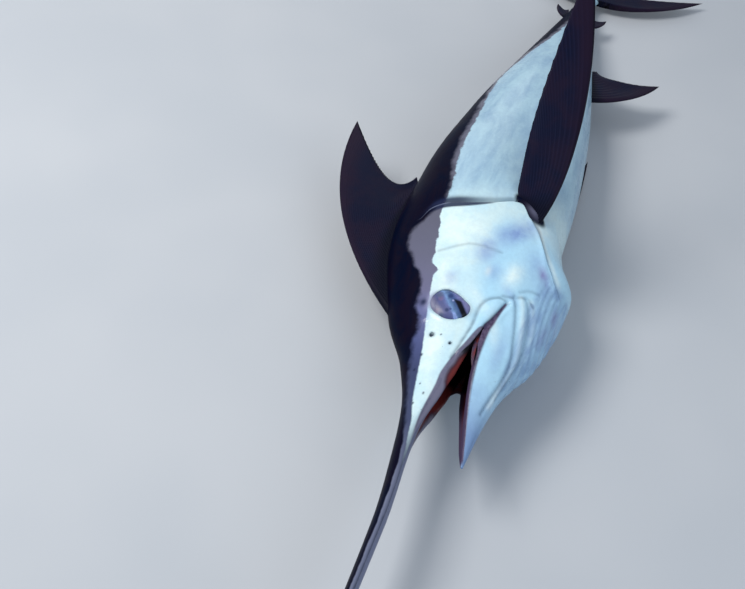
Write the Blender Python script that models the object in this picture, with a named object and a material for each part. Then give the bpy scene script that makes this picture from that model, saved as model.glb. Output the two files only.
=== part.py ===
"""A swordfish at its real size, lying on its right side with its mouth open and its left breast fin raised.

The fish is shaped in its own frame, in millimetres: x runs forward to the tip of the bill, y to the
fish's left and z to its back. The origin lies on the middle plane, level with the eyes. One empty then
turns the whole fish onto its right side and sets it on the ground.
"""
import math

import bmesh
import bpy
from mathutils import Vector

MM = 0.001
GAP = 0.3            # clearance between pieces that touch
SAGITTA = 0.15       # how far flat faces can stand out from the smooth flank
GROUND = -81.5       # the fish's y where its right side meets the ground

# Where the fish is parted
NECK = -125.0        # head and throat end, torso begins
TORSO_END = -420.0
TRUNK_END = -760.0
TAIL_BASE = -980.0   # the stalk ends and the tail fin begins
BILL_BASE = 165.0
BILL_TIP = 700.0
GAPE = 20.0          # corner of the mouth
THROAT_FRONT = -24.0
JAW_TIP = 190.0

# Side view: height of the back's ridge and of the belly's keel along the fish
TOP = [
    (-990, 25), (-945, 16), (-905, 21), (-780, 40), (-610, 68), (-430, 98), (-260, 116), (-160, 117),
    (-94, 109), (-27, 88), (24, 66), (75, 33), (141, 8), (200, -2), (300, -12), (500, -15.5), (700, -20),
]
BOTTOM = [
    (-990, -25), (-945, -16), (-905, -22), (-780, -43), (-610, -72), (-430, -99), (-260, -112),
    (-190, -113), (-150, -124), (-110, -145), (-58, -141), (-14, -134), (23, -124), (53, -109),
    (86, -98), (134, -90), (190, -85),
]
# Plan view: half the width, and the height at which the fish is widest
HALF = [
    (-990, 9), (-945, 12), (-905, 15), (-780, 29), (-610, 50), (-430, 73), (-260, 86), (-190, 86.5),
    (-125, 81), (-60, 68), (0, 55), (20, 52), (50, 45), (109, 32), (165, 24), (300, 21), (500, 16),
    (600, 12), (670, 7), (700, 1.5),
]
WIDEST = [(-990, 0), (-430, 4), (-200, 3), (-125, 0), (-60, -15), (0, -35), (50, -30), (109, -22),
          (165, -12), (300, -20), (700, -21)]
# Fullness of the section above and below its widest height: 2 is an ellipse, more is squarer
FULL_ABOVE = [(-990, 2.0), (-200, 2.2), (0, 2.0), (100, 2.2), (300, 1.8), (700, 1.8)]
FULL_BELOW = [(-990, 2.0), (-200, 2.1), (0, 2.0), (100, 2.2), (300, 1.8), (700, 1.8)]
# Upper jaw: its lip (the parting behind the mouth), where its side would close, and the palate's arch
LIP = [(-125, -96), (-85, -82), (-24, -63), (20, -48), (50, -40), (79, -32), (109, -25.5), (165, -18),
       (200, -19), (300, -24), (500, -24), (700, -21.2)]
UNDER = [(20, -125), (50, -80), (79, -54), (109, -38), (165, -24), (300, -29), (700, -21.7)]
ARCH = [(-125, 0), (-75, 0), (-40, 10), (0, 16), (40, 14), (100, 8), (150, 0), (200, -3), (300, -3.5),
        (600, -2), (700, -0.3)]
# Lower jaw: its lip, half width and widest height in front of the corner of the mouth, and its floor
JAW_LIP = [(20, -48.3), (54, -51), (89, -56), (124, -64), (160, -73), (190, -82)]
JAW_HALF = [(20, 52), (54, 44), (89, 31), (124, 19), (160, 11), (180, 6), (190, 2)]
JAW_WIDEST = [(20, -33), (54, -54), (89, -60), (124, -68), (160, -77), (190, -83.5)]
FLOOR_DEPTH = [(-75, 0), (-24, 18), (20, 24), (60, 22), (100, 14), (150, 6), (190, 0)]
LIP_WIDTH = 5.0
# Upper jaw bone that lies over the corner of the mouth: its middle line, half height and thickness
MAXILLA = [(128, -19.5, 1.6), (100, -22.0, 3.0), (70, -29.0, 4.2), (42, -35.5, 5.4), (16, -41.0, 6.2),
           (-4, -47.0, 7.2), (-15, -51.5, 6.8), (-21, -54.5, 4.8), (-24, -56.5, 2.2)]
MAXILLA_THICK = 6.0
MAXILLA_SIDES = 12
MAXILLA_SINK = 2.2   # how far its narrow ends run in under the cheek
LIP_BEAD = 1.8       # how far the lower lip stands out from the jaw

# Gill covers: front and rear edge as (height, x)
GILL_FRONT = [(-110, -104), (-85, -90), (-60, -86), (-34, -90), (-8, -86), (17, -76), (38, -66), (60, -80),
              (80, -114)]
GILL_REAR = [(-110, -108), (-92, -130), (-69, -163), (-52, -181), (-35, -186), (-15, -175), (15, -157),
             (46, -144), (66, -133), (80, -118)]
GILL_BELOW = -109.0
GILL_ABOVE = 79.0
GILL_THICK = 11.0
GILL_PROUD = 3.0     # how far its free edge stands out from the flank

EYE_RADIUS = 27.5
EYE_SIDES = 24
# Section of the eye, from the middle of its front to its back: radius and height above the flank
EYE_SECTION = [(9, 3.2), (17, 2.2), (23, 0.2), (27, -3), (27.5, -6), (25, -13), (17, -19), (8, -22)]
CUT_CLEAR = 14.0     # how far the guides that cut beds reach out of the skin
NOSTRILS = [((51, 7), 3.2), ((56, -18), 2.4)]

RIDGE = 1.2          # height of a fin's rays above its skin, at the root

# How far the body sags towards the ground along its rear
SAG = [(-1120, -65), (-990, -60.5), (-905, -50), (-700, -24), (-520, -7), (-330, 0)]

WHITE = (0.72, 0.80, 0.84, 1.0)
DARK = (0.018, 0.020, 0.035, 1.0)
SILVER = (0.42, 0.50, 0.56, 1.0)
EYE_BLUE = (0.05, 0.07, 0.13, 1.0)


def through(points):
    """Returns the smooth curve through (place, value) pairs, with no overshoot between them."""
    points = sorted(points)
    steps = [(b[1] - a[1]) / (b[0] - a[0]) for a, b in zip(points, points[1:])]
    slopes = [steps[0]]
    for before, after in zip(steps, steps[1:]):
        flat = before * after <= 0
        slopes.append(0.0 if flat else 2 * before * after / (before + after))
    slopes.append(steps[-1])

    def value(place):
        place = min(max(place, points[0][0]), points[-1][0])
        i = 0
        while i < len(points) - 2 and place > points[i + 1][0]:
            i += 1
        (x0, y0), (x1, y1) = points[i], points[i + 1]
        run = x1 - x0
        t = (place - x0) / run
        rise = y0 * (1 + 2 * t) * (1 - t) ** 2 + y1 * t * t * (3 - 2 * t)
        lean = run * (slopes[i] * t * (1 - t) ** 2 - slopes[i + 1] * t * t * (1 - t))
        return rise + lean

    return value


top, bottom, half, widest = through(TOP), through(BOTTOM), through(HALF), through(WIDEST)
full_above, full_below = through(FULL_ABOVE), through(FULL_BELOW)
lip, under, arch = through(LIP), through(UNDER), through(ARCH)
jaw_lip, jaw_half, jaw_widest = through(JAW_LIP), through(JAW_HALF), through(JAW_WIDEST)
floor_depth, sag = through(FLOOR_DEPTH), through(SAG)
gill_front, gill_rear = through(GILL_FRONT), through(GILL_REAR)


def side(x, z):
    """Returns the half width of the closed body at a place and height."""
    above = z > widest(x)
    reach = top(x) - widest(x) if above else widest(x) - bottom(x)
    fullness = full_above(x) if above else full_below(x)
    share = min(abs(z - widest(x)) / reach, 1.0)
    return half(x) * (1 - share ** fullness) ** (1 / fullness)


def flank(x, z, out=0.0, limit=None):
    """Returns the point of the left flank at a place and height, moved out, but not past a limit in y."""
    along = (side(x + 1, z) - side(x - 1, z)) / 2
    upward = (side(x, z + 1) - side(x, z - 1)) / 2
    normal = Vector((-along, 1, -upward)).normalized()
    skin = Vector((x, side(x, z), z))
    if limit and skin.y + normal.y * out > limit:
        out = (limit - skin.y) / normal.y
    return skin + normal * out


def arc(x, wide, level, reach, fullness, start, end, count):
    """Returns points of a section between two angles, where 90 is the reach's far end."""
    points = []
    for i in range(count + 1):
        angle = math.radians(start + (end - start) * i / count)
        across = math.copysign(abs(math.cos(angle)) ** (2 / fullness), math.cos(angle))
        rise = abs(math.sin(angle)) ** (2 / fullness)
        points.append(Vector((x, wide * across, level + reach * rise)))
    return points


def drop_angle(drop, reach, fullness):
    """Returns the angle below the widest height at which a section has dropped by this much."""
    return math.degrees(math.asin(min(drop / reach, 1.0) ** (fullness / 2)))


def upper_ring(x, crown=14, cheek=3, palate=8):
    """Returns the section of the head, upper jaw and bill."""
    wide, level = half(x), widest(x)
    closing = bottom(x) if x <= GAPE else under(x)
    fullness = full_below(x)
    edge = drop_angle(level - lip(x), level - closing, fullness)
    left = arc(x, wide, level, closing - level, fullness, edge, 0, cheek)
    over = arc(x, wide, level, top(x) - level, full_above(x), 0, 180, crown)
    right = [Vector((x, -p.y, p.z)) for p in reversed(left)]
    ring = left[:-1] + over + right[1:]
    edge_y = ring[0].y
    inner = edge_y - LIP_WIDTH if edge_y > 2 * LIP_WIDTH else edge_y * 0.5
    for i in range(palate + 1):
        across = -inner + 2 * inner * i / palate
        ring.append(Vector((x, across, lip(x) + arch(x) * (1 - (across / inner) ** 2))))
    return ring


def lower_ring(x, outer=12, inside=8):
    """Returns the section of the lower jaw, or of the throat behind the corner of the mouth."""
    closed = x <= GAPE
    wide = half(x) if closed else jaw_half(x)
    level = widest(x) if closed else jaw_widest(x)
    edge_z = lip(x) - GAP if closed else jaw_lip(x)
    fullness = full_below(x)
    reach = level - bottom(x)
    edge = drop_angle(max(level - edge_z, 0.0), reach, fullness)
    ring = arc(x, wide, level, -reach, fullness, edge, 180 - edge, outer)
    if not closed:
        bead = LIP_BEAD * min(1.0, (x - GAPE) / 20, (JAW_TIP - x) / 40)
        ring[1].y += bead
        ring[-2].y -= bead
    edge_y = ring[0].y
    inner = edge_y - LIP_WIDTH if edge_y > 2 * LIP_WIDTH else edge_y * 0.5
    for i in range(inside + 1):
        across = -inner + 2 * inner * i / inside
        ring.append(Vector((x, across, edge_z - floor_depth(x) * (1 - (across / inner) ** 2))))
    return ring


def whole_ring(x, count=24):
    """Returns the closed section of the trunk."""
    over = arc(x, half(x), widest(x), top(x) - widest(x), full_above(x), 0, 180, count // 2)
    below = arc(x, half(x), widest(x), bottom(x) - widest(x), full_below(x), 180, 0, count // 2)
    return over[:-1] + below[:-1]


def settle(point):
    """Lets the rear of the body sag, and rests what would pass the ground on it."""
    return Vector((point.x, max(point.y + sag(point.x), GROUND), point.z)) * MM


def finish(name, colour, roughness):
    """Returns a plain finish for one piece."""
    material = bpy.data.materials.new(name)
    material.use_nodes = True
    shader = material.node_tree.nodes["Principled BSDF"]
    shader.inputs["Base Color"].default_value = colour
    shader.inputs["Roughness"].default_value = roughness
    shader.inputs["Metallic"].default_value = 0.0
    return material


def piece(name, bm, colour, roughness=0.35):
    """Makes a named object of a mesh whose points are in the fish's frame."""
    for vert in bm.verts:
        vert.co = settle(vert.co)
    bmesh.ops.recalc_face_normals(bm, faces=bm.faces)
    mesh = bpy.data.meshes.new(name)
    bm.to_mesh(mesh)
    bm.free()
    mesh.shade_smooth()
    mesh.set_sharp_from_angle(angle=math.radians(40))
    mesh.materials.append(finish(name + "_finish", colour, roughness))
    obj = bpy.data.objects.new(name, mesh)
    bpy.context.scene.collection.objects.link(obj)
    obj.parent = resting
    return obj


def loft(rings):
    """Returns a closed mesh through rings that all have the same number of points."""
    bm = bmesh.new()
    rows = [[bm.verts.new(point) for point in ring] for ring in rings]
    count = len(rows[0])
    for a, b in zip(rows, rows[1:]):
        for j in range(count):
            k = (j + 1) % count
            bm.faces.new((a[j], b[j], b[k]))
            bm.faces.new((a[j], b[k], a[k]))
    bm.faces.new(rows[0])
    bm.faces.new(rows[-1])
    return bm


def spaced(start, end, step):
    """Returns places from start to end, evenly spaced by about a step."""
    count = max(2, round(abs(end - start) / step))
    return [start + (end - start) * i / count for i in range(count + 1)]


def combine(target, guide, operation="DIFFERENCE"):
    """Cuts a guide shape out of a piece, or joins it on."""
    guide.hide_render = True
    guide.display_type = "WIRE"
    boolean = target.modifiers.new(guide.name, "BOOLEAN")
    boolean.operation = operation
    boolean.object = guide


def settle_cuts(obj):
    """Applies a piece's cuts and joins, keeps its largest closed surface and marks its sharp edges."""
    bpy.context.view_layer.update()
    shaped = bpy.data.meshes.new_from_object(obj.evaluated_get(bpy.context.evaluated_depsgraph_get()))
    obj.modifiers.clear()
    obj.data = shaped
    bm = bmesh.new()
    bm.from_mesh(shaped)
    left = set(bm.verts)
    largest = set()
    while left:
        shell = {left.pop()}
        edge = list(shell)
        while edge:
            vert = edge.pop()
            near = {e.other_vert(vert) for e in vert.link_edges} - shell
            shell |= near
            edge += near
        left -= shell
        largest = max(largest, shell, key=len)
    bmesh.ops.delete(bm, geom=[v for v in bm.verts if v not in largest], context="VERTS")
    bm.to_mesh(shaped)
    bm.free()
    shaped.shade_smooth()
    shaped.set_sharp_from_angle(angle=math.radians(40))


def maxilla(name):
    """Makes the flat bone along the left side of the upper jaw, half sunk in the cheek."""
    middles = [flank(x, z, 0.4 - MAXILLA_SINK * max(0.0, 1 - reach / 5)) for x, z, reach in MAXILLA]
    rings = []
    for i, (x, z, reach) in enumerate(MAXILLA):
        ahead, behind = middles[max(i - 1, 0)], middles[min(i + 1, len(middles) - 1)]
        way = (behind - ahead).normalized()
        out = (flank(x, z, 1.0) - flank(x, z)).normalized()
        across = way.cross(out).normalized()
        thick = MAXILLA_THICK / 2 * min(1.0, reach / 6)
        ring = []
        for j in range(MAXILLA_SIDES):
            angle = 2 * math.pi * j / MAXILLA_SIDES
            ring.append(middles[i] + across * reach * math.cos(angle) + out * thick * math.sin(angle))
        rings.append(ring)
    return piece(name, loft(rings), WHITE)


def eye(name, grow, front):
    """Makes an eye, a lens set in the head, or with room and a longer front its socket's guide."""
    seat = flank(0, 0)
    axis = (flank(0, 0, 1) - seat).normalized()
    along = axis.orthogonal().normalized()
    across = axis.cross(along)
    section = EYE_SECTION
    if front:
        section = [(EYE_RADIUS, front)] + EYE_SECTION[4:]
    rings = []
    for radius, depth in section:
        reach = radius + grow
        middle = seat + axis * (depth if depth > 0 else depth - grow)
        ring = []
        for i in range(EYE_SIDES):
            angle = 2 * math.pi * i / EYE_SIDES
            ring.append(middle + along * reach * math.cos(angle) + across * reach * math.sin(angle))
        rings.append(ring)
    return piece(name, loft(rings), EYE_BLUE, 0.1)


def plate(name, grow, outer, limit=None):
    """Makes a gill cover on the left flank, or with more room the guide that cuts its bed."""
    rows, columns = 12, 7
    inner, proud = GILL_THICK - GILL_PROUD, GILL_PROUD
    bm = bmesh.new()
    outside, inside = [], []
    for i in range(rows + 1):
        share = (1 - math.cos(math.pi * i / rows)) / 2
        z = GILL_BELOW + (GILL_ABOVE - GILL_BELOW) * share
        front, rear = gill_front(z) + 2 * grow, gill_rear(z) - 2 * grow
        z += grow * ((i == rows) - (i == 0))
        depths = (outer, -grow - inner * (0.4 + 0.6 * math.sin(math.pi * share)))
        for side_rows, depth in zip((outside, inside), depths):
            row = []
            for j in range(columns + 1):
                u = j / columns
                lift = proud * u * u if side_rows is outside else proud * u * u * 0.5
                row.append(bm.verts.new(flank(front + (rear - front) * u, z, depth + lift, limit)))
            side_rows.append(row)
    for grid in (outside, inside):
        for a, b in zip(grid, grid[1:]):
            for j in range(columns):
                bm.faces.new((a[j], b[j], b[j + 1]))
                bm.faces.new((a[j], b[j + 1], a[j + 1]))
    for a, b in zip(range(rows), range(1, rows + 1)):
        for j in (0, columns):
            bm.faces.new((outside[a][j], outside[b][j], inside[b][j], inside[a][j]))
    for i in (0, rows):
        for j in range(columns):
            bm.faces.new((outside[i][j], outside[i][j + 1], inside[i][j + 1], inside[i][j]))
    return piece(name, bm, WHITE)


def bezier(a, b, c, t):
    """Returns the point of a curve from a to c that bends towards b."""
    return a * (1 - t) ** 2 + b * 2 * t * (1 - t) + c * t * t


def fin(name, root, tip, lead, trail, hem, thick, rays, rows, ridge, beside=0, colour=DARK):
    """Makes a fin whose rays leave the root, bend with the leading edge and end along the trailing edge.

    root gives the root's point for a share from front to back, lead and trail bend the two edges, and hem
    is the last ray's length as a vector. thick is the thickness at the root. A fin that grows beside the
    body, 1 on the left and -1 on the right, keeps clear of the flank.
    """
    columns = rays * 2

    def place(u, v):
        start = root(v)
        end = bezier(tip, trail, root(1.0) + hem, v ** 0.75)
        bend = lead - (root(0.0) + tip) / 2
        return bezier(start, (start + end) / 2 + bend * (1 - v) ** 1.5, end, u)

    def normal(u, v):
        nearby = 0.01
        u0, v0 = min(u, 1 - nearby), min(v, 1 - nearby)
        here = place(u0, v0)
        across = (place(u0 + nearby, v0) - here).cross(place(u0, v0 + nearby) - here)
        return across.normalized()

    def clear(point, rooted):
        if not beside:
            return point
        skin = side(point.x, point.z) + GAP + SAGITTA
        out = skin if rooted else max(beside * point.y, skin)
        return Vector((point.x, beside * out, point.z))

    bm = bmesh.new()
    sides = ([], [])
    rim = set()
    for i in range(rows + 1):
        u = i / rows
        for grid in sides:
            grid.append([])
        for j in range(columns + 1):
            v = j / columns
            middle = clear(place(u, v), i == 0)
            if i == rows or j in (0, columns):
                vert = bm.verts.new(middle)
                rim.add(vert)
                for grid in sides:
                    grid[-1].append(vert)
                continue
            body = thick / 2 * (1 - u) ** 0.8 * (1 - 0.45 * v) + 0.5
            raised = ridge * (1 - 0.6 * u) if j % 2 else 0.0
            way = normal(u, v)
            for grid, sign in zip(sides, (1, -1)):
                grid[-1].append(bm.verts.new(clear(middle + way * sign * (body + raised), i == 0)))
    for grid in sides:
        for a, b in zip(grid, grid[1:]):
            for j in range(columns):
                corners = [(a[j], b[j], b[j + 1]), (a[j], b[j + 1], a[j + 1])]
                if j < rays:
                    corners = [(a[j], b[j], a[j + 1]), (b[j], b[j + 1], a[j + 1])]
                for corner in corners:
                    if not rim.issuperset(corner):
                        bm.faces.new(corner)
    near, far = sides[0][0], sides[1][0]
    for j in range(columns):
        corner = dict.fromkeys((near[j], near[j + 1], far[j + 1], far[j]))
        bm.faces.new(list(corner))
    return piece(name, bm, colour, 0.3)


for old in list(bpy.data.objects):
    bpy.data.objects.remove(old)

resting = bpy.data.objects.new("resting_side", None)
bpy.context.scene.collection.objects.link(resting)
resting.rotation_euler = (math.radians(90), 0, 0)

# Head, bill and jaws
face = spaced(NECK, THROAT_FRONT, 10) + spaced(THROAT_FRONT, GAPE, 9)[1:] + spaced(GAPE, BILL_BASE, 10)[1:]
head = piece("head", loft([upper_ring(x) for x in face]), WHITE)
blade = spaced(BILL_BASE + GAP, 600, 36) + [635, 665, 688, BILL_TIP]
piece("bill", loft([upper_ring(x, crown=8, cheek=1, palate=4) for x in blade]), DARK)
jaw = [THROAT_FRONT + GAP / 2] + face[face.index(THROAT_FRONT) + 1:face.index(GAPE) + 1]
jaw += [x for x in face if x > GAPE] + [173, 180, 186, JAW_TIP]
piece("lower_jaw", loft([lower_ring(x) for x in jaw]), WHITE)
under_head = [x for x in face if x < THROAT_FRONT] + [THROAT_FRONT - GAP / 2]
throat = piece("throat", loft([lower_ring(x) for x in under_head]), WHITE)

# Trunk
torso = piece("torso", loft([whole_ring(x) for x in spaced(NECK - GAP, TORSO_END, 16)]), SILVER)
piece("rear_trunk", loft([whole_ring(x, 20) for x in spaced(TORSO_END - GAP, TRUNK_END, 22)]), SILVER)
stalk = spaced(TRUNK_END - GAP, -905, 24) + spaced(-905, TAIL_BASE, 14)[1:]
piece("tail_stalk", loft([whole_ring(x, 16) for x in stalk]), SILVER)


def mirrored(obj, name, rests):
    """Makes the right-hand copy of a left-hand piece, which rests on the ground where it would pass it."""
    mesh = obj.data.copy()
    mesh.name = name
    for vert in mesh.vertices:
        vert.co.y = -vert.co.y
        if rests:
            vert.co.y = max(vert.co.y, GROUND * MM)
    mesh.flip_normals()
    twin = bpy.data.objects.new(name, mesh)
    bpy.context.scene.collection.objects.link(twin)
    twin.parent = resting
    return twin


# Gill covers and eyes, with their beds cut in the flesh
helpers = []
for side_name in ("left", "right"):
    cover = plate("gill_cover_" + side_name, 0.0, 0.5, -GROUND if side_name == "right" else None)
    ball = eye("eye_" + side_name, 0.0, None)
    bed = plate("gill_bed_" + side_name, GAP, CUT_CLEAR)
    socket = eye("eye_socket_" + side_name, GAP, CUT_CLEAR)
    bone = maxilla("maxilla_" + side_name)
    guides = [bed, socket]
    for number, (spot, size) in enumerate(NOSTRILS):
        pit = bmesh.new()
        bmesh.ops.create_icosphere(pit, subdivisions=1, radius=size)
        middle = flank(spot[0], spot[1], -0.3 * size)
        for vert in pit.verts:
            vert.co += middle
        guides.append(piece(f"nostril_{side_name}_{number}", pit, DARK))
    if side_name == "right":
        for left in [cover, ball, bone] + guides:
            name = left.name
            left.name = name + "_pattern"
            twin = mirrored(left, name, left is cover)
            if left in guides:
                guides[guides.index(left)] = twin
            if left is bone:
                bone = twin
            bpy.data.objects.remove(left)
    combine(head, bone, "UNION")
    for guide in guides:
        combine(head, guide)
    combine(throat, guides[0])
    combine(torso, guides[0])
    helpers += guides + [bone]

for joined in (head, throat, torso):
    settle_cuts(joined)
for helper in helpers:
    bpy.data.objects.remove(helper)


def back_root(start, end, height, sign):
    """Returns the root of a fin on the middle plane, along the back or the belly."""
    def root(v):
        x = start + (end - start) * v
        return Vector((x, 0, height(x) + sign * GAP))
    return root


fin("first_dorsal_fin", back_root(14, -242, top, 1), Vector((-328, 0, 246)), Vector((-128, 0, 240)),
    Vector((-178, 0, 138)), Vector((-12, 0, 7)), 9, 15, 8, RIDGE)
fin("second_dorsal_fin", back_root(-868, -898, top, 1), Vector((-918, 0, 48)), Vector((-884, 0, 50)),
    Vector((-896, 0, 30)), Vector((-10, 0, 3)), 4, 5, 4, RIDGE)
fin("first_anal_fin", back_root(-590, -690, bottom, -1), Vector((-722, 0, -178)), Vector((-628, 0, -150)),
    Vector((-664, 0, -92)), Vector((-10, 0, -8)), 7, 10, 6, RIDGE)
fin("second_anal_fin", back_root(-860, -892, bottom, -1), Vector((-912, 0, -50)), Vector((-877, 0, -52)),
    Vector((-888, 0, -32)), Vector((-10, 0, -3)), 4, 5, 4, RIDGE)
for word, way in (("upper", 1), ("lower", -1)):
    def lobe_root(v, way=way):
        return Vector((TAIL_BASE - GAP, 0, way * (24 - (24 - GAP / 2) * v)))
    fin("tail_fin_" + word, lobe_root, Vector((-1115, 0, way * 218)), Vector((-985, 0, way * 132)),
        Vector((-1022, 0, way * 62)), Vector((-34, 0, 0)), 12, 10, 8, RIDGE)


def flank_root(front, rear, sign):
    """Returns a fin's root on a flank, between two (x, z) places."""
    def root(v):
        x = front[0] + (rear[0] - front[0]) * v
        z = front[1] + (rear[1] - front[1]) * v
        spot = flank(x, z)
        return Vector((spot.x, sign * spot.y, spot.z))
    return root


fin("pectoral_fin_left", flank_root((-176, -76), (-200, -38), 1), Vector((-432, 312, -4)),
    Vector((-236, 178, -96)), Vector((-262, 196, -6)), Vector((-14, 10, 4)), 11, 12, 10, RIDGE, 1)
fin("pectoral_fin_right", flank_root((-176, -86), (-203, -60), -1), Vector((-520, -70, -106)),
    Vector((-300, -77, -126)), Vector((-320, -76, -70)), Vector((-14, -1, -4)), 4, 12, 10, RIDGE, -1)

for word, sign in (("left", 1), ("right", -1)):
    fin("keel_" + word, flank_root((-908, 0), (-978, 0), sign), Vector((-968, sign * 26, 0)),
        Vector((-940, sign * 32, 0)), Vector((-975, sign * 20, 0)), Vector((-3, sign * 2, 0)),
        7, 5, 4, 0.0, sign)

# Set the fish on the ground, with the middle of its outline at the origin
bpy.context.view_layer.update()
corners = []
for obj in bpy.context.scene.objects:
    if obj.type == "MESH" and not obj.hide_render:
        corners += [obj.matrix_world @ Vector(corner) for corner in obj.bound_box]
low = [min(corner[i] for corner in corners) for i in range(3)]
high = [max(corner[i] for corner in corners) for i in range(3)]
resting.location = (-(low[0] + high[0]) / 2, -(low[1] + high[1]) / 2, -low[2])
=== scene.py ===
# %% [markdown]
# A swordfish at life size, lying on its right side.
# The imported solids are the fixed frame: they say where every part of the fish is. This script gives them
# their looks. One skin takes the place of all the flesh, the fins get their fine rays and the eyes their
# depth, and then come the finishes, the studio and the camera.

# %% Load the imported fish
import math

import bpy
import numpy as np
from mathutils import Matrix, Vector


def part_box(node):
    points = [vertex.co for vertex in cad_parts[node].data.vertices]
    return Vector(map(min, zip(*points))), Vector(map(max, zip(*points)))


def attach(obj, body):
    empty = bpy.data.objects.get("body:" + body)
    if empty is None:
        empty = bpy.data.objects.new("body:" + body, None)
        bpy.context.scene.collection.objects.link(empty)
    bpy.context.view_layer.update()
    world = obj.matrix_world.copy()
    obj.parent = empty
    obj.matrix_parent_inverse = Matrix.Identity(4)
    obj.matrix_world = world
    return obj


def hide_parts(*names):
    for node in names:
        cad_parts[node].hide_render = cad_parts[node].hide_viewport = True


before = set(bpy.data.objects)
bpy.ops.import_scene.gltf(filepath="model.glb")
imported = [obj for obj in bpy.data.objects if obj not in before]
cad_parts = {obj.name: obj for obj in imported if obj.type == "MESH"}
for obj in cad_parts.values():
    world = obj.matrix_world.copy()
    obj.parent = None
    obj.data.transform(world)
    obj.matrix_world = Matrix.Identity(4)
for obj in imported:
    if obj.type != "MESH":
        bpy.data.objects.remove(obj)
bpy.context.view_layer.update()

print("packed nodes:", sorted(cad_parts))

# %% [markdown]
# A fish is easiest to measure in its own frame: millimetres forward from the eyes (x), to its left (y) and
# towards its back (z). The ground is 81.5 mm to its right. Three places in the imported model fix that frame:
# the tip of the bill, the tip of the first dorsal fin and the ground.

# %% The fish's own frame
MM = 0.001
BILL_TIP = 700.0
DORSAL_TIP = 246.0
GROUND = -81.5
ORIGIN = Vector((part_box("bill")[1].x - BILL_TIP * MM,
                 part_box("first_dorsal_fin")[0].y + DORSAL_TIP * MM,
                 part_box("torso")[0].z - GROUND * MM))
print("the eyes' station is at", tuple(round(v, 4) for v in ORIGIN))

# %% [markdown]
# Nearly every form of a fish swells and thins slowly, so each is drawn as a smooth line through a few marks.
# A curve object could draw it, but a curve's handles overshoot and leave false humps. This line never leaves
# the range between one mark and the next, so few marks are enough.

# %% Smooth lines
def line_through(points):
    """Returns the smooth curve through (place, value) pairs, with no overshoot between them."""
    xs, ys = np.array(sorted(points), float).T
    steps = np.diff(ys) / np.diff(xs)
    slopes = np.concatenate((steps[:1], np.zeros(len(xs) - 2), steps[-1:]))
    same = steps[:-1] * steps[1:] > 0
    before, after = steps[:-1][same], steps[1:][same]
    slopes[1:-1][same] = 2 * before * after / (before + after)

    def value(place):
        place = np.clip(place, xs[0], xs[-1])
        i = np.clip(np.searchsorted(xs, place, side="right") - 1, 0, len(xs) - 2)
        run = xs[i + 1] - xs[i]
        t = (place - xs[i]) / run
        rise = ys[i] * (1 + 2 * t) * (1 - t) ** 2 + ys[i + 1] * t * t * (3 - 2 * t)
        return rise + run * (slopes[i] * t * (1 - t) ** 2 - slopes[i + 1] * t * t * (1 - t))

    return value


print("between two equal marks a line stays at", float(line_through([(0, 0), (1, 1), (2, 1)])(1.5)))

# %% [markdown]
# A fish is soft. Its rear sags until it rests on the ground, where a stiff model would float. The sag could
# be a lattice over the finished mesh. Here it is one more line, added whenever a place in the fish's own
# frame is turned into the model's, so every piece sags alike and all of them still fit.

# %% From the fish's frame to the model's and back
sag = line_through([(-1120, -65), (-990, -60.5), (-905, -50), (-700, -24), (-520, -7), (-330, 0)])


def to_world(points):
    """Turns places in the fish's frame into the model's, in metres, and rests them on the ground."""
    points = np.atleast_2d(np.asarray(points, float))
    y = np.maximum(points[:, 1] + sag(points[:, 0]), GROUND)
    return np.stack((points[:, 0], -points[:, 2], y), 1) * MM + np.array(ORIGIN)


def to_fish(points):
    """Turns places in the model into the fish's frame, in millimetres."""
    local = (np.asarray(points, float) - np.array(ORIGIN)) / MM
    return np.stack((local[:, 0], local[:, 2] - sag(local[:, 0]), -local[:, 1]), 1)


print("the tips of the tail sag by", round(-float(sag(-1120))), "mm")

# %% [markdown]
# The body is described by lines along it, as a boat is: the ridge of the back, the keel of the belly, half
# the width and the height of the widest place. The lips and the rims of the jaws are lines too. They are
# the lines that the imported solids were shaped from, so the skin lies where the solids are.

# %% Lines along the body
GILL_STATION = -125.0
top = line_through([
    (-990, 25), (-945, 16), (-905, 21), (-780, 40), (-610, 68), (-430, 98), (-260, 116), (-160, 117),
    (-94, 109), (-27, 88), (24, 66), (75, 33), (141, 8), (200, -2), (300, -12), (500, -15.5), (700, -20)])
bottom = line_through([
    (-990, -25), (-945, -16), (-905, -22), (-780, -43), (-610, -72), (-430, -99), (-260, -112),
    (-190, -113), (-150, -124), (-110, -145), (-58, -141), (-14, -134), (23, -124), (53, -109),
    (86, -98), (134, -90), (190, -85)])
half = line_through([
    (-990, 9), (-945, 12), (-905, 15), (-780, 29), (-610, 50), (-430, 73), (-260, 86), (-190, 86.5),
    (-125, 81), (-60, 68), (0, 55), (20, 52), (50, 45), (109, 32), (165, 24), (300, 21), (500, 16),
    (600, 12), (670, 7), (700, 1.5)])
widest = line_through([(-990, 0), (-430, 4), (-200, 3), (-125, 0), (-60, -15), (0, -35), (50, -30),
                       (109, -22), (165, -12), (300, -20), (700, -21)])
full_above = line_through([(-990, 2.0), (-200, 2.2), (0, 2.0), (100, 2.2), (300, 1.8), (700, 1.8)])
full_below = line_through([(-990, 2.0), (-200, 2.1), (0, 2.0), (100, 2.2), (300, 1.8), (700, 1.8)])
depth = float(top(GILL_STATION) - bottom(GILL_STATION))
width = 2 * float(half(GILL_STATION))
print("at the gill covers the body is", round(depth), "mm deep and", round(width), "mm wide")

# %% [markdown]
# With the mouth wide open the front of the fish is two bodies: the head with its bill, and the lower jaw.
# Both could be cut out of one solid. Here the skin is an upper and a lower sheet that meet in a seam, and in
# front of the corner of the mouth each sheet ends on its own lip, so the gape needs no cutting.

# %% Lines of the mouth
GAPE = 20.0
JAW_TIP = 190.0
POCKET_END = -60.0
TAIL_END = -992.0
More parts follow.
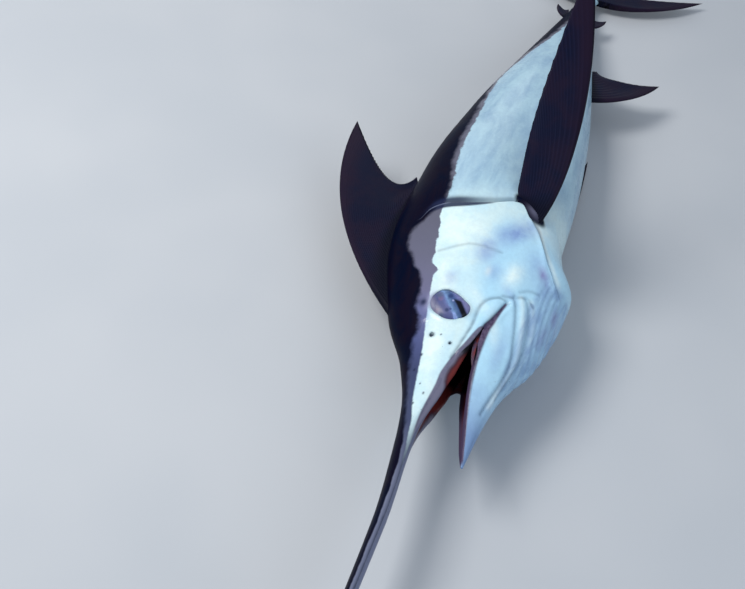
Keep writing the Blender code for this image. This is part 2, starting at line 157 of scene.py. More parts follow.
# The seam where the upper and the lower sheet of skin meet, which is the line of the mouth in front
seam = line_through([(-990, -18), (-945, -11), (-905, -14), (-780, -28), (-610, -48), (-430, -68),
                     (-260, -80), (-125, -92), (-85, -82), (-24, -66), (-7, -64), (5, -58), (20, -49),
                     (50, -40), (79, -32), (109, -25.5), (165, -18), (200, -19), (300, -24), (500, -24),
                     (700, -21.2)])
under = line_through([(20, -125), (50, -80), (79, -54), (109, -38), (165, -24), (300, -29), (700, -21.7)])
arch = line_through([(-60, 0), (-40, 8), (0, 16), (40, 14), (100, 8), (150, 0), (200, -3), (300, -3.5),
                     (600, -2), (700, -0.3)])
jaw_lip = line_through([(20, -49.3), (54, -51), (89, -56), (124, -64), (160, -73), (190, -82)])
jaw_half = line_through([(20, 52), (54, 44), (89, 31), (124, 19), (160, 11), (180, 6), (190, 1.5)])
jaw_widest = line_through([(20, -33), (54, -54), (89, -60), (124, -68), (160, -77), (190, -83.5)])
floor_depth = line_through([(-60, 0), (-24, 14), (20, 24), (60, 22), (100, 14), (150, 6), (190, 0)])
print("at its tip the jaw hangs", round(float(seam(JAW_TIP) - jaw_lip(JAW_TIP))), "mm below the bill")

# %% [markdown]
# Cut across, a fish is an oval that is fuller than an ellipse. Circles joined by a loft would pinch at the
# ridge of the back. A superellipse has one number for how full it is, so the back can be rounder than the
# belly and the bill can be flat, and its angle gives each point of the section a place to be.

# %% Across the body
def closing(x):
    """Returns the height at which the upper sheet would close below it."""
    return np.where(x <= GAPE, bottom(x), under(x))


def jaw_level(x):
    """Returns the height of the lower sheet's widest place."""
    return np.where(x <= GAPE, widest(x), jaw_widest(x))


def side(x, z):
    """Returns the half width of the closed body at a place and height."""
    above = z > widest(x)
    reach = np.where(above, top(x) - widest(x), widest(x) - bottom(x))
    fullness = np.where(above, full_above(x), full_below(x))
    share = np.minimum(np.abs(z - widest(x)) / reach, 1.0)
    return half(x) * (1 - share ** fullness) ** (1 / fullness)


def section(wide, level, reach, fullness, angle):
    """Returns a section's (y, z) at an angle from its widest place towards its reach."""
    across = wide * np.abs(np.cos(angle)) ** (2 / fullness)
    return across, level + reach * np.abs(np.sin(angle)) ** (2 / fullness)


def drop_angle(drop, reach, fullness):
    """Returns the angle at which a section has dropped this far below its widest place."""
    return np.arcsin(np.clip(drop / reach, 0.0, 1.0) ** (fullness / 2))


def upper_place(x, angle):
    """Returns (y, z) on the left half of head, bill or back. Below 0 the angle runs down to the seam."""
    reach = np.where(angle < 0, closing(x) - widest(x), top(x) - widest(x))
    fullness = np.where(angle < 0, full_below(x), full_above(x))
    return section(half(x), widest(x), reach, fullness, np.abs(angle))


def upper_start(x):
    """Returns the angle at which the upper sheet starts, on the seam."""
    return -drop_angle(widest(x) - seam(x), widest(x) - closing(x), full_below(x))


def lower_place(x, angle):
    """Returns (y, z) on the left half of the lower jaw, throat or belly."""
    wide = np.where(x <= GAPE, half(x), jaw_half(x))
    return section(wide, jaw_level(x), bottom(x) - jaw_level(x), full_below(x), angle)


def lower_start(x):
    """Returns the angle at which the lower sheet starts, on the seam or on the jaw's lip."""
    level = jaw_level(x)
    edge = np.where(x <= GAPE, seam(x), np.minimum(jaw_lip(x), level))
    return drop_angle(level - edge, level - bottom(x), full_below(x))


print("in front of the eye the head is", round(2 * float(side(60.0, -10.0))), "mm wide")

# %% [markdown]
# Skin on a body like this can be sculpted, or stretched over a few cages with subdivision. Here it is
# rolled up from four flat grids, because their rows can then follow the fish: back, belly, palate and the
# floor of the mouth. They share their edges, so the lips, the corners of the mouth and the seam along the
# flank close when the doubles are merged. The rows bend along the rear edge of the gill covers, and lie
# closer together on the left side, which faces up.

# %% Rows of the skin
HEAD_STEP = 1.8
BODY_STEP = 9.0
HEAD_START = -235.0
GILL_ROW = -150.0
NOSE_END = 165.0


def spaced(start, end, step):
    """Returns places from start to end, evenly spaced by about a step."""
    return np.linspace(start, end, max(2, round(abs(end - start) / step)) + 1)


tail_rows = np.array([TAIL_END, -991.6, -990.6, -989])
body_rows = spaced(-986, HEAD_START, BODY_STEP)
gill_rows = GILL_ROW - np.array([1.2, 0.7, 0.25])
throat_rows = np.concatenate((spaced(HEAD_START, GILL_ROW - 2, HEAD_STEP)[1:], gill_rows,
                              spaced(GILL_ROW, POCKET_END, HEAD_STEP)))
pocket_rows = spaced(POCKET_END, GAPE, HEAD_STEP)[1:]
jaw_rows = spaced(GAPE, NOSE_END, HEAD_STEP)[1:]
chin_rows = np.append(spaced(NOSE_END, 186, HEAD_STEP)[1:], [187.5, 188.7, 189.5, JAW_TIP])
bill_rows = np.append(spaced(NOSE_END, 676, BODY_STEP)[1:], [682, 688, 692, 695, 697.5, 699.2, BILL_TIP])
back_rows = np.concatenate((tail_rows, body_rows, throat_rows, pocket_rows, jaw_rows, bill_rows))
belly_rows = np.concatenate((tail_rows, body_rows, throat_rows, pocket_rows, jaw_rows, chin_rows))
mouth_rows = np.concatenate(([POCKET_END], pocket_rows, jaw_rows))
print("rows on the back, the belly and in the mouth:", len(back_rows), len(belly_rows), len(mouth_rows))

# %% [markdown]
# The gill cover is a thin bone plate with a free rear edge, like the lid of a box. On straight rows its edge
# would come out as a stair. So the rows near it are bent until one of them lies right along the edge, and
# the rows beside it are let off little by little.

# %% Bend the rows along the gill covers
BEND_AHEAD = 118.0
BEND_BEHIND = 84.0
gill_rear = line_through([(-140, -80), (-127, -84), (-112, -92), (-104, -101), (-93, -113), (-80, -133),
                          (-69, -150), (-51, -166), (-37, -180), (-27, -177), (-9, -165), (9, -155),
                          (27, -148), (46, -143), (57, -139), (67, -133), (74, -127), (80, -116), (90, -112)])


def bend_row(row, z):
    """Moves a row's places along the fish, so that the row at GILL_ROW follows the gill cover's rear edge."""
    pull = np.clip(1 - np.abs(row - GILL_ROW) / np.where(row > GILL_ROW, BEND_AHEAD, BEND_BEHIND), 0, 1)
    return row + pull * pull * (3 - 2 * pull) * (gill_rear(np.clip(z, -140, 90)) - GILL_ROW)


print("the rows bend back by up to", round(GILL_ROW - float(gill_rear(-37))), "mm")

# %% [markdown]
# Points that are evenly spaced in angle crowd together where a section is flat. Subdivision would even them
# out, but it would also round off the lips. Each section is measured instead, and its points are spread
# evenly along the skin, a little closer near the seam, where the lips are.

# %% Spread the points across
SEAM_CLOSE = 0.6
TRIALS = 200


def shares(count):
    """Returns shares from the seam to the middle line, closer together near the seam."""
    t = np.linspace(0, 1, count + 1)
    return SEAM_CLOSE * t + (1 - SEAM_CLOSE) * t * t


def spread(place, start, rows, columns):
    """Returns angles on a sheet's left half for each row and share, evenly spaced along the skin."""
    angles = np.empty((len(rows), len(columns)))
    fine = np.linspace(0, 1, TRIALS)
    for i, x in enumerate(rows):
        begin = float(start(np.array(x)))
        trial = begin + (math.pi / 2 - begin) * fine
        y, z = place(np.full(TRIALS, x), trial)
        run = np.append(0, np.cumsum(np.hypot(np.diff(y), np.diff(z))))
        angles[i] = np.interp(columns * run[-1], run, trial)
    return angles


def half_sheet(place, start, rows, columns):
    """Returns the points of a sheet's left half, from the seam to the middle line."""
    straight = np.repeat(rows[:, None], len(columns), 1)
    grid_x = straight
    angles = spread(place, start, rows, columns)
    begin = start(straight)
    for _ in range(3):
        y, z = place(grid_x, angles)
        grid_x = bend_row(straight, z)
        old, begin = begin, start(grid_x)
        angles = begin + (angles - old) * (math.pi / 2 - begin) / (math.pi / 2 - old)
    y, z = place(grid_x, angles)
    return np.stack((grid_x, y, z), 2)


print("of 100 columns the first takes", round(100 * float(shares(100)[1]), 2), "% of the way")

# %% Back and belly
BACK_COLUMNS = (100, 50)
BELLY_COLUMNS = (46, 24)
TAIL_ROUND = -985.0


def whole_sheet(place, start, rows, columns):
    """Returns a sheet from the left seam over the middle line to the right one."""
    near, far = (half_sheet(place, start, rows, shares(count)) for count in columns)
    far[:, :, 1] *= -1
    near[:, -1, 1] = 0
    sheet = np.concatenate((near, far[:, -2::-1]), 1)
    past_round = (TAIL_ROUND - sheet[:, :, :1]) / (TAIL_ROUND - TAIL_END)
    sheet[:, :, 1:] *= np.where(past_round > 0, np.sqrt(np.clip(1 - past_round ** 2, 0, 1)), 1)
    return sheet


back = whole_sheet(upper_place, upper_start, back_rows, BACK_COLUMNS)
belly = whole_sheet(lower_place, lower_start, belly_rows, BELLY_COLUMNS)
print("back", back.shape, "belly", belly.shape)

# %% [markdown]
# The lining of the mouth is two more sheets. In front of the corner they hang on the lips. Behind it they
# share an edge of their own, which runs back inside the cheeks until palate and floor meet.

# %% Palate and floor of the mouth
LIP_WIDTH = 5.0
LIP_START = 20.0
ROLL_WIDTH = 20.0
CHEEK_STEP = 3.0
CHEEK_TAPER = 14.0
POCKET_RISE = 1.0
MOUTH_COLUMNS = 44


def lining(rows, edge, level, rise, bead, roll):
    """Returns a lining sheet from left to right. edge gives the rims, rise how far it arches."""
    across = np.linspace(1, -1, MOUTH_COLUMNS + 1)
    across = np.sign(across) * np.abs(across) ** 0.8
    points = np.empty((len(rows), len(across), 3))
    for i, x in enumerate(rows):
        rim_y, rim_z = edge[i]
        lip_share = min(LIP_WIDTH, rim_y * 0.5) / rim_y
        inner = 1 - lip_share
        on_lip = np.clip((np.abs(across) - inner) / lip_share, 0, 1)
        dome = np.clip(1 - (across / (1 - lip_share * np.clip((x - GAPE) / LIP_START, 0, 1))) ** 2, 0, 1)
        z = level[i] + (rim_z - level[i]) * on_lip ** 2 + rise[i] * dome + bead[i] * np.sin(math.pi * on_lip)
        from_rim = rim_y * (1 - np.abs(across))
        z += roll[i] * np.sin(math.pi * np.clip(from_rim / min(ROLL_WIDTH, rim_y), 0, 1) ** 0.6)
        points[i] = np.stack((np.full(len(across), x), rim_y * across, z), 1)
    return points


def rims(rows, sheet, sheet_rows):
    """Returns each row's rim: the sheet's seam in front of the corner, or an edge inside the cheeks."""
    corner = sheet[np.argmin(np.abs(sheet_rows - GAPE)), 0]
    found = []
    for x in rows:
        if x >= GAPE:
            found.append(sheet[np.argmin(np.abs(sheet_rows - x)), 0, 1:])
        else:
            inward = (GAPE - x) / (GAPE - POCKET_END)
            wide = corner[1] - CHEEK_STEP * min(1, (GAPE - x) / 4) - CHEEK_TAPER * inward
            found.append(np.array((wide, float(seam(x)) + POCKET_RISE)))
    return found


print("the lips are", LIP_WIDTH, "mm wide")

# %% Lay the two linings
palate_rows = np.concatenate((mouth_rows, bill_rows))
palate_bead = np.interp(palate_rows, [0, 40, 150, 200], [0, -1.3, -1.3, 0])
palate_roll = np.interp(palate_rows, [30, 60, 90, 130, 165, 200], [0, -4.5, -8, -7.5, -4, 0])
palate = lining(palate_rows, rims(palate_rows, back, back_rows), seam(palate_rows), arch(palate_rows),
                palate_bead, palate_roll)
floor_rows = np.concatenate((mouth_rows, chin_rows))
floor_level = np.where(floor_rows > GAPE, jaw_lip(floor_rows), seam(floor_rows))
floor_bead = np.interp(floor_rows, [0, 40, 170, 190], [0, 1.2, 1.2, 0])
floor = lining(floor_rows, rims(floor_rows, belly, belly_rows), floor_level, -floor_depth(floor_rows),
               floor_bead, np.zeros(len(floor_rows)))
# Behind the corner the two linings share their rims and their last row
inside = floor_rows < GAPE
for sheet in (palate, floor):
    for column in (0, -1):
        sheet[:int(inside.sum()), column, 2] = seam(floor_rows[inside]) + POCKET_RISE
palate[0] = floor[0]
print("palate", palate.shape, "floor", floor.shape)

# %% [markdown]
# The skin of a fish is one closed surface, also where it turns in over the lips. Four separate sheets with
# open borders would show gaps. Each grid is added flat, its points are moved to their places, and then all
# four are joined and the points that lie on each other become one.

# %% Helpers for meshes
def alone(obj):
    """Selects one object and makes it the active one."""
    bpy.ops.object.select_all(action="DESELECT")
    obj.select_set(True)
    bpy.context.view_layer.objects.active = obj


def join(objects):
    """Joins objects into the first one, and returns it."""
    alone(objects[0])
    for obj in objects:
        obj.select_set(True)
    bpy.ops.object.join()
    return bpy.context.object


def move_points(obj, fish):
    """Moves an object's points to places in the fish's frame."""
    obj.data.vertices.foreach_set("co", to_world(fish).ravel())
    obj.data.update()


def read_points(obj):
    """Returns an object's points in the model's frame, in metres."""
    points = np.empty(len(obj.data.vertices) * 3)
    obj.data.vertices.foreach_get("co", points)
    return points.reshape(-1, 3)


def shaped_grid(name, points):
    """Adds a flat grid of as many rows and columns, and moves its points into place."""
    rows, columns = points.shape[:2]
    bpy.ops.mesh.primitive_grid_add(x_subdivisions=columns - 1, y_subdivisions=rows - 1, size=1)
    obj = bpy.context.object
    obj.name = name
    obj.data.name = name
    move_points(obj, points.reshape(-1, 3))
    return obj


def keep_values(obj, name, values):
    """Writes one number for each point, which edit mode, modifiers and finishes can read."""
    found = obj.data.attributes.get(name) or obj.data.attributes.new(name, "FLOAT", "POINT")
    found.data.foreach_set("value", np.asarray(values, np.float32).ravel())


def read_values(obj, name):
    """Returns the number that a mesh keeps under this name for each point."""
    values = np.zeros(len(obj.data.vertices), np.float32)
    obj.data.attributes[name].data.foreach_get("value", values)
    return values


def close_up(obj, merge):
    """Merges the doubles, fills what is left open and turns every face outwards."""
    alone(obj)
    bpy.ops.object.mode_set(mode="EDIT")
    bpy.ops.mesh.select_all(action="SELECT")
    bpy.ops.mesh.remove_doubles(threshold=merge)
    bpy.ops.mesh.fill_holes(sides=0)
    bpy.ops.mesh.normals_make_consistent(inside=False)
    bpy.ops.object.mode_set(mode="OBJECT")


print("tools for grids, points and kept values are ready")

# %% Roll the grids into one skin
SKIN_MERGE = 0.00003
PIECE_MERGE = 0.000001
sheets = []
grids = (("skin", back, back_rows, False), ("belly", belly, belly_rows, False),
         ("palate", palate, palate_rows, True), ("floor", floor, floor_rows, True))
for name, points, rows, is_inner in grids:
    sheet = shaped_grid(name, points)
    is_lining = np.full(points.shape[:2], is_inner)
    is_lining[rows >= GAPE, 0] = False
    is_lining[rows >= GAPE, -1] = False
    keep_values(sheet, "lining", is_lining)
    keep_values(sheet, "row", np.repeat(rows, points.shape[1]))
    sheets.append(sheet)
skin = join(sheets)
close_up(skin, SKIN_MERGE)
print("skin:", len(skin.data.vertices), "points,", len(skin.data.polygons), "faces")

# %% [markdown]
# The fine forms of a head are bones and folds under the skin: the jaw bone over the corner of the mouth, the
# rear edge of the gill cover, the rim of the eye, the folds between jaw and throat. They could be sculpted
# by brush. Here each is a line of a few marks on the flank, and the skin near it is raised or sunk along
# its own normal, so that every form has its own place, width and height.

# %% Marks on the flank
def outer_y(x, z):
    """Returns the half width of the outer skin, also on the lower jaw in front of the mouth's corner."""
    level = jaw_widest(x)
    share = np.clip((level - z) / (level - bottom(x)), 0, 1)
    on_jaw = jaw_half(x) * (1 - share ** full_below(x)) ** (1 / full_below(x))
    jaw_here = (x > GAPE) & (z < (seam(x) + jaw_lip(x)) / 2)
    drop = np.clip((widest(x) - z) / (widest(x) - under(x)), 0, 1)
    over_mouth = half(x) * (1 - drop ** full_below(x)) ** (1 / full_below(x))
    on_head = np.where((x > GAPE) & (z < widest(x)), over_mouth, side(x, z))
    return np.where(jaw_here, on_jaw, on_head)


def trace(marks, count=60):
    """Returns places along a smooth line on the left flank through (x, z) marks."""
    marks = np.array(marks, float)
    run = np.append(0, np.cumsum(np.hypot(*np.diff(marks, axis=0).T)))
    at = np.linspace(0, run[-1], count)
    x = line_through(list(zip(run, marks[:, 0])))(at)
    z = line_through(list(zip(run, marks[:, 1])))(at)
    return np.stack((x, outer_y(x, z), z), 1)


def away(places, line):
    """Returns how far each place is from a line, on either side of the fish."""
    mirrored = np.stack((places[:, 0], np.abs(places[:, 1]), places[:, 2]), 1)
    low, high = line.min(0) - 30, line.max(0) + 30
    found = np.full(len(places), 99.0)
    close = np.all((mirrored > low) & (mirrored < high), 1)
    gaps = mirrored[close, None, :] - line[None]
    found[close] = np.sqrt((gaps ** 2).sum(2)).min(1)
    return found


def swell(places, line, width):
    """Returns a soft bulge, 1 on the line and fading over the width."""
    return np.exp(-(away(places, line) / width) ** 2)


def ease(values, start, end):
    """Returns a smooth step from 0 at the start to 1 at the end."""
    t = np.clip((values - start) / (end - start), 0, 1)
    return t * t * (3 - 2 * t)


jaw_bone_edge = trace([(74, -26), (58, -29), (41, -32), (33, -33.5), (21, -35), (3, -35), (-9, -36.5),
                       (-18, -41), (-25, -49), (-29, -57), (-29, -63), (-26, -66.5)])
mouth_fold = trace([(-27, -66), (-12, -61), (5, -54.8), (20, -49.5)])
cheek_line = trace([(-66, 40), (-80, 17), (-87, 4), (-90, -14), (-91, -36)])
jaw_fold = trace([(-40, -72), (-24, -79), (14, -89), (51, -95), (74, -92), (98, -87), (120, -83)])
throat_fold = trace([(-46, -88), (-29, -96), (-10, -101), (24, -105), (45, -103), (68, -98), (92, -93)])
joint_crease = trace([(-33, -58), (-37, -70), (-44, -80), (-47, -90), (-42, -98)])
joint_crease_low = trace([(-50, -76), (-60, -88), (-64, -100)], 30)
gill_lower_ridge = trace([(-164, -55), (-147, -72), (-127, -84), (-108, -94), (-97, -104), (-88, -116)])
jaw_bone_middle = trace([(60, -33), (41, -37), (21, -42.5), (3, -47), (-10, -50.5), (-17, -54)])
brow = trace([(30, 22), (12, 30), (-8, 30), (-24, 22)], 40)
print("the jaw bone's edge is traced at", len(jaw_bone_edge), "places")

# %% [markdown]
# The gill cover stands a little proud of the body, and a groove runs behind it where it closes. Its edge
# could be a separate plate, but on a living fish the same skin runs over it. So the rows in front of the
# edge are lifted more and more, and the few rows behind it are sunk.

# %% The gill cover and its groove
GILL_PROUD = 3.0
GROOVE_DEEP = 3.0
ROW_SLACK = 0.2
points = read_points(skin)
normals = np.empty(len(skin.data.vertices) * 3)
skin.data.vertex_normals.foreach_get("vector", normals)
normals = normals.reshape(-1, 3)
places = to_fish(points)
x, y, z = places.T
outside = read_values(skin, "lining") < 0.5
row = read_values(skin, "row")
behind_gill = row < GILL_ROW - ROW_SLACK

on_edge = ease(z, 84, 68) * ease(z, -130, -112) * outside
gill_front = line_through([(-140, -60), (-110, -75), (-60, -86), (-34, -90), (-8, -86), (17, -76), (38, -66),
                           (60, -80), (90, -96)])
across_cover = np.clip((x - gill_front(z)) / (gill_rear(z) - gill_front(z)), 0, 1)
cover = np.where(row >= GILL_ROW - 0.01, GILL_PROUD * across_cover ** 2, 0.0)
past_edge = np.maximum(GILL_ROW - row - 2, 0)
groove = np.where(behind_gill, -GROOVE_DEEP * np.exp(-(past_edge / 5) ** 2), 0.0)
lift = on_edge * (cover + groove)
print("the gill cover stands", round(float(lift.max()), 1), "mm proud")

# %% [markdown]
# Under the skin of the cheek lie the jaw bone, the joint of the jaw and the folds that let the mouth open.
# Brushes would give them a worked look but no sizes. Each is a traced line with a height and a width.

# %% Bones and folds
lift += outside * (
    1.9 * swell(places, jaw_bone_middle, 7.5) - 1.1 * swell(places, jaw_bone_edge, 2.6)
    - 2.4 * swell(places, mouth_fold, 2.9) + 0.8 * swell(places, mouth_fold + [0, 0, -7], 3.5)
    - 0.35 * swell(places, cheek_line, 2.8) + 0.5 * swell(places, cheek_line + [7, 0, 0], 5)
    - 1.5 * swell(places, jaw_fold, 2.9) + 1.2 * swell(places, jaw_fold + [0, 0, 6], 5)
    - 1.3 * swell(places, throat_fold, 2.8) + 1.3 * swell(places, (jaw_fold + throat_fold) / 2, 3.5)
    - 1.0 * swell(places, joint_crease, 2.7) - 0.7 * swell(places, joint_crease_low, 2.7)
    + 1.2 * swell(places, gill_lower_ridge + [4, 0, 0], 3.5) + 0.8 * swell(places, brow, 5))
print("the folds sink", round(-float(lift.min()), 1), "mm")

# %% [markdown]
# The eye is very large, and at the rear and below a fleshy rim covers a part of it, so its opening isn't a
# plain oval. An oval hole would look like a doll's eye. The rim is a line of shares around the eye's middle.

# %% The rim of the eye
EYE_MIDDLE = (5.0, -1.0)
EYE_HALF = (21.5, 25.5)
RIM_HIGH = 0.9
SOCKET_RIM = line_through([
    (-20, 1.03), (0, 1.03), (25, 0.98), (42, 1.0), (65, 1.04), (90, 1.05), (115, 1.06), (140, 1.08),
    (158, 1.03), (174, 0.91), (190, 0.83), (210, 0.79), (226, 0.79), (238, 0.85), (250, 0.94), (265, 1.02),
    (286, 1.05), (302, 1.04), (322, 1.0), (340, 1.03), (360, 1.03), (385, 0.98)])


def socket_reach(forward, upward):
    """Returns the socket's reach in a direction, as a share of the oval's."""
    return SOCKET_RIM(np.degrees(np.arctan2(upward, forward)) % 360)


def eye_share_at(x, z):
    """Returns how far out of the eye's middle a place is, with 1 at the edge of the socket."""
    forward, upward = (x - EYE_MIDDLE[0]) / EYE_HALF[0], (z - EYE_MIDDLE[1]) / EYE_HALF[1]
    return np.hypot(forward, upward) / socket_reach(forward, upward)


lift += outside * RIM_HIGH * np.exp(-((eye_share_at(x, z) - 1.06) / 0.13) ** 2)
print("the eye's opening is", round(2 * EYE_HALF[0]), "mm long and", round(2 * EYE_HALF[1]), "mm high")

# %% [markdown]
# What is left is softer: shallow domes of muscle and bone, the fleshy base of the breast fin, and the fine
# folds in which the throat's membrane lies. None has an edge, so each is a smooth hump in the skin. The
# keels on the tail's stalk are the one form that stands straight out from the sides.

# %% Soft forms, and the move
DOMES = [((-70, -62), 13, 1.6), ((-52, -10), 22, 1.2), ((84, -8), 20, 0.9), ((-110, 30), 26, 1.0),
         ((-120, -40), 22, -0.8), ((-30, -110), 16, 1.0), ((34, -96), 9, 0.7)]
FIN_BASE_MIDDLE = (-182.0, -50.0)
FIN_BASE_HALF = (27.0, 13.0)
FIN_BASE_HIGH = 7.0
FIN_BASE_LINE = (0.456, 0.89)
PLEAT_HIGH = 0.45
KEEL_WIDE = 12.5


def fin_base_share(x, y, z):
    """Returns how far out of the fleshy base of the left pectoral fin a place is, with 1 at its edge."""
    forward, upward = x - FIN_BASE_MIDDLE[0], z - FIN_BASE_MIDDLE[1]
    run, rise = FIN_BASE_LINE
    along, across = forward * run - upward * rise, forward * rise + upward * run
    return np.where(y > 0, np.hypot(along / FIN_BASE_HALF[0], across / FIN_BASE_HALF[1]), 9.0)


for (dome_x, dome_z), reach, height in DOMES:
    lift += outside * height * np.exp(-((x - dome_x) ** 2 + (z - dome_z) ** 2) / reach ** 2)
lift += outside * behind_gill * FIN_BASE_HIGH * ease(fin_base_share(x, y, z), 1.15, 0.35)
pleats = ease(z, throat_fold[:, 2].max() - 2, -112) * ease(x, -105, -70) * ease(x, 96, 60) * outside
lift += pleats * PLEAT_HIGH * np.sin(z * 0.9 + 2.2 * np.sin(x * 0.045) + x * 0.05)
points += normals * lift[:, None] * MM
keel = np.sin(math.pi * np.clip((x + 982) / 78, 0, 1)) ** 0.7 * np.exp(-((z - widest(x)) / 3.0) ** 2)
points[:, 2] += np.where(outside, KEEL_WIDE * keel * np.sign(y), 0.0) * MM
points[:, 2] = np.maximum(points[:, 2], ORIGIN.z + GROUND * MM)
skin.data.vertices.foreach_set("co", points.ravel())
skin.data.update()
print("the forms rise", round(float(lift.max()), 1), "mm and sink", round(-float(lift.min()), 1), "mm")

# %% [markdown]
# The eyes sit in sockets and the nostrils are small pits. Holes with a clean rim are cut, not pushed in:
# a few rounded bodies are placed on the flank, joined, and taken away from the skin.

# %% Cut the sockets and the nostrils
def flank(x, z, out=0.0):
    """Returns a place on the left flank, moved straight out, and the flank's own direction there."""
    along = (outer_y(x + 1, z) - outer_y(x - 1, z)) / 2
    upward = (outer_y(x, z + 1) - outer_y(x, z - 1)) / 2
    normal = Vector((-along, 1, -upward)).normalized()
    return Vector((x, float(outer_y(x, z)), z)) + normal * out, normal


def rounded(name, segments):
    """Adds a rounded body, and returns it with its points as shares of its half sizes."""
    bpy.ops.mesh.primitive_uv_sphere_add(segments=segments, ring_count=segments // 2, radius=1)
    obj = bpy.context.object
    obj.name = name
    return obj, np.array([v.co for v in obj.data.vertices])


def on_flank(place, normal, shape, sizes):
    """Returns places for a body's points. sizes are half sizes along the flank, up it and straight out."""
    forward = (Vector((1, 0, 0)) - normal * normal.x).normalized()
    upward = normal.cross(forward) * -1
    axes = np.array((forward, upward, normal)) * np.array(sizes)[:, None]
    return np.array(place) + shape @ axes


SOCKET_DEEP = 12.0
cutters = []
for sign in (1, -1):
    for name, (spot_x, spot_z), out, sizes, segments in (
            ("socket", EYE_MIDDLE, 1.5, (*EYE_HALF, SOCKET_DEEP), 96),
            ("nostril_front", (51.5, 7.0), 0.0, (3.4, 2.3, 3.0), 24),
            ("nostril_rear", (56.5, -18.0), 0.0, (2.1, 1.7, 2.4), 24)):
        cutter, shape = rounded(name, segments)
        if name == "socket":
            shape[:, :2] *= socket_reach(shape[:, 0], shape[:, 1])[:, None]
        fish = on_flank(*flank(spot_x, spot_z, out), shape, sizes)
        fish[:, 1] *= sign
        move_points(cutter, fish)
        cutters.append(cutter)
cutter = join(cutters)
close_up(cutter, PIECE_MERGE)
alone(skin)
cut = skin.modifiers.new("sockets", "BOOLEAN")
cut.object = cutter
cut.operation = "DIFFERENCE"
cut.solver = "MANIFOLD"
bpy.ops.object.modifier_apply(modifier="sockets")
bpy.data.objects.remove(cutter)
print("skin after the cuts:", len(skin.data.vertices), "points,", len(skin.data.polygons), "faces")

# %% [markdown]
# A swordfish's eye is a big, clear, slightly domed lens. A plain ball would bulge out past the rim where it
# covers the eye. This is a ball turned flat at the front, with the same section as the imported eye, whose
# front dips under the rim, and it is spun fine enough to catch one clean highlight.

# %% Eyes
EYE_RADIUS = 27.5
EYE_REAR = -6.0
EYE_DEEP = 16.0
EYE_FRONT = 3.4
RIM_DIP = 5.0
eye_section = line_through([(0, 3.6), (9, 3.2), (17, 2.2), (23, 0.2), (26, -2.2), (27.5, -6.0)])


def eye(side_name, sign):
    """Shapes one eyeball, and keeps each point's place across the eye for its finish."""
    seat, axis = flank(0.0, 0.0)
    ball, shape = rounded("eyeball_" + side_name, 96)
    along, upward = shape[:, 0] * EYE_RADIUS, shape[:, 1] * EYE_RADIUS
    radius = np.hypot(along, upward)
    # The front is lowest where the rim covers it, as seen straight from the side
    seen_at = eye_share_at(seat.x + along * (1 - axis.x ** 2), seat.z + upward - along * axis.x * axis.z)
    front = np.minimum(eye_section(radius), EYE_FRONT - RIM_DIP * ease(seen_at, 0.74, 1.04))
    rear = EYE_REAR - EYE_DEEP * np.sqrt(np.clip(1 - (radius / EYE_RADIUS) ** 2, 0, 1))
    depth = np.where(shape[:, 2] >= 0, front, rear)
    fish = on_flank(seat, axis, np.stack((along, upward, depth), 1), (1, 1, 1))
    fish[:, 1] *= sign
    move_points(ball, fish)
    keep_values(ball, "eye_along", along)
    keep_values(ball, "eye_up", upward)
    close_up(ball, PIECE_MERGE)
    bpy.ops.object.shade_smooth()
    return ball


eyes = [eye("left", 1), eye("right", -1)]
print("eye width", round(eyes[0].dimensions.x * 1000), "mm")

# %% [markdown]
# In the corners of the open mouth a thin web of skin is stretched from the upper to the lower lip. On the
# right it is pulled forward, and on the left it lies folded along the lower lip. Each is a small grid with
# a hollow front edge, and Solidify gives it its thickness.

# %% Webs of the mouth
WEB_THICK = 0.0012
WEB_START = GAPE - 4.0


def web(side_name, sign, upper_reach, lower_reach, hollow):
    """Stretches a web from the corner of the mouth to given places on the upper and the lower lip."""
    down, front = np.meshgrid(np.linspace(0, 1, 17), np.linspace(0, 1, 25))
    upper_x = WEB_START + (upper_reach - WEB_START) * front
    lower_x = WEB_START + (lower_reach - WEB_START) * front
    web_x = upper_x + (lower_x - upper_x) * down - hollow * np.sin(math.pi * down) * front
    upper_z, lower_z = seam(web_x) + 0.5, jaw_lip(np.maximum(web_x, GAPE)) - 0.5
    web_z = upper_z + (lower_z - upper_z) * down
    lip_y = outer_y(web_x, np.where(down < 0.5, seam(web_x), lower_z))
    inset = 3.0 + 2.5 * np.sin(math.pi * down)
    sheet = shaped_grid("mouth_web_" + side_name, np.stack((web_x, sign * (lip_y - inset), web_z), 2))
    keep_values(sheet, "front", front)
    alone(sheet)
    wall = sheet.modifiers.new("thickness", "SOLIDIFY")
    wall.thickness = WEB_THICK
    wall.offset = 0
    bpy.ops.object.modifier_apply(modifier="thickness")
    close_up(sheet, PIECE_MERGE)
    bpy.ops.object.shade_smooth()
    return sheet


webs = [web("left", 1, 30, 74, 3), web("right", -1, 88, 62, 8)]
print("web on the right", [round(v * 1000) for v in webs[1].dimensions], "mm")

# %% [markdown]
# A fin is a row of bony rays with skin stretched between them. Each fin is one grid, folded over its front
# edge so that it has two faces, and its thickness follows the rays: thick at the root, ridged over each
# ray, and thin at the rear edge. Rays split in two towards their tips, as they do in a real fin.

# %% The sheet and the rays of a fin
COLUMNS_PER_RAY = 6
FIN_MERGE = 0.00001
FRAY = 0.009
SPLIT_FROM = 0.35
SPLIT_OVER = 0.4


def bend(a, b, c, t):
    """Returns the curve from a to c that bends towards b."""
    return a * (1 - t) ** 2 + b * 2 * t * (1 - t) + c * t * t


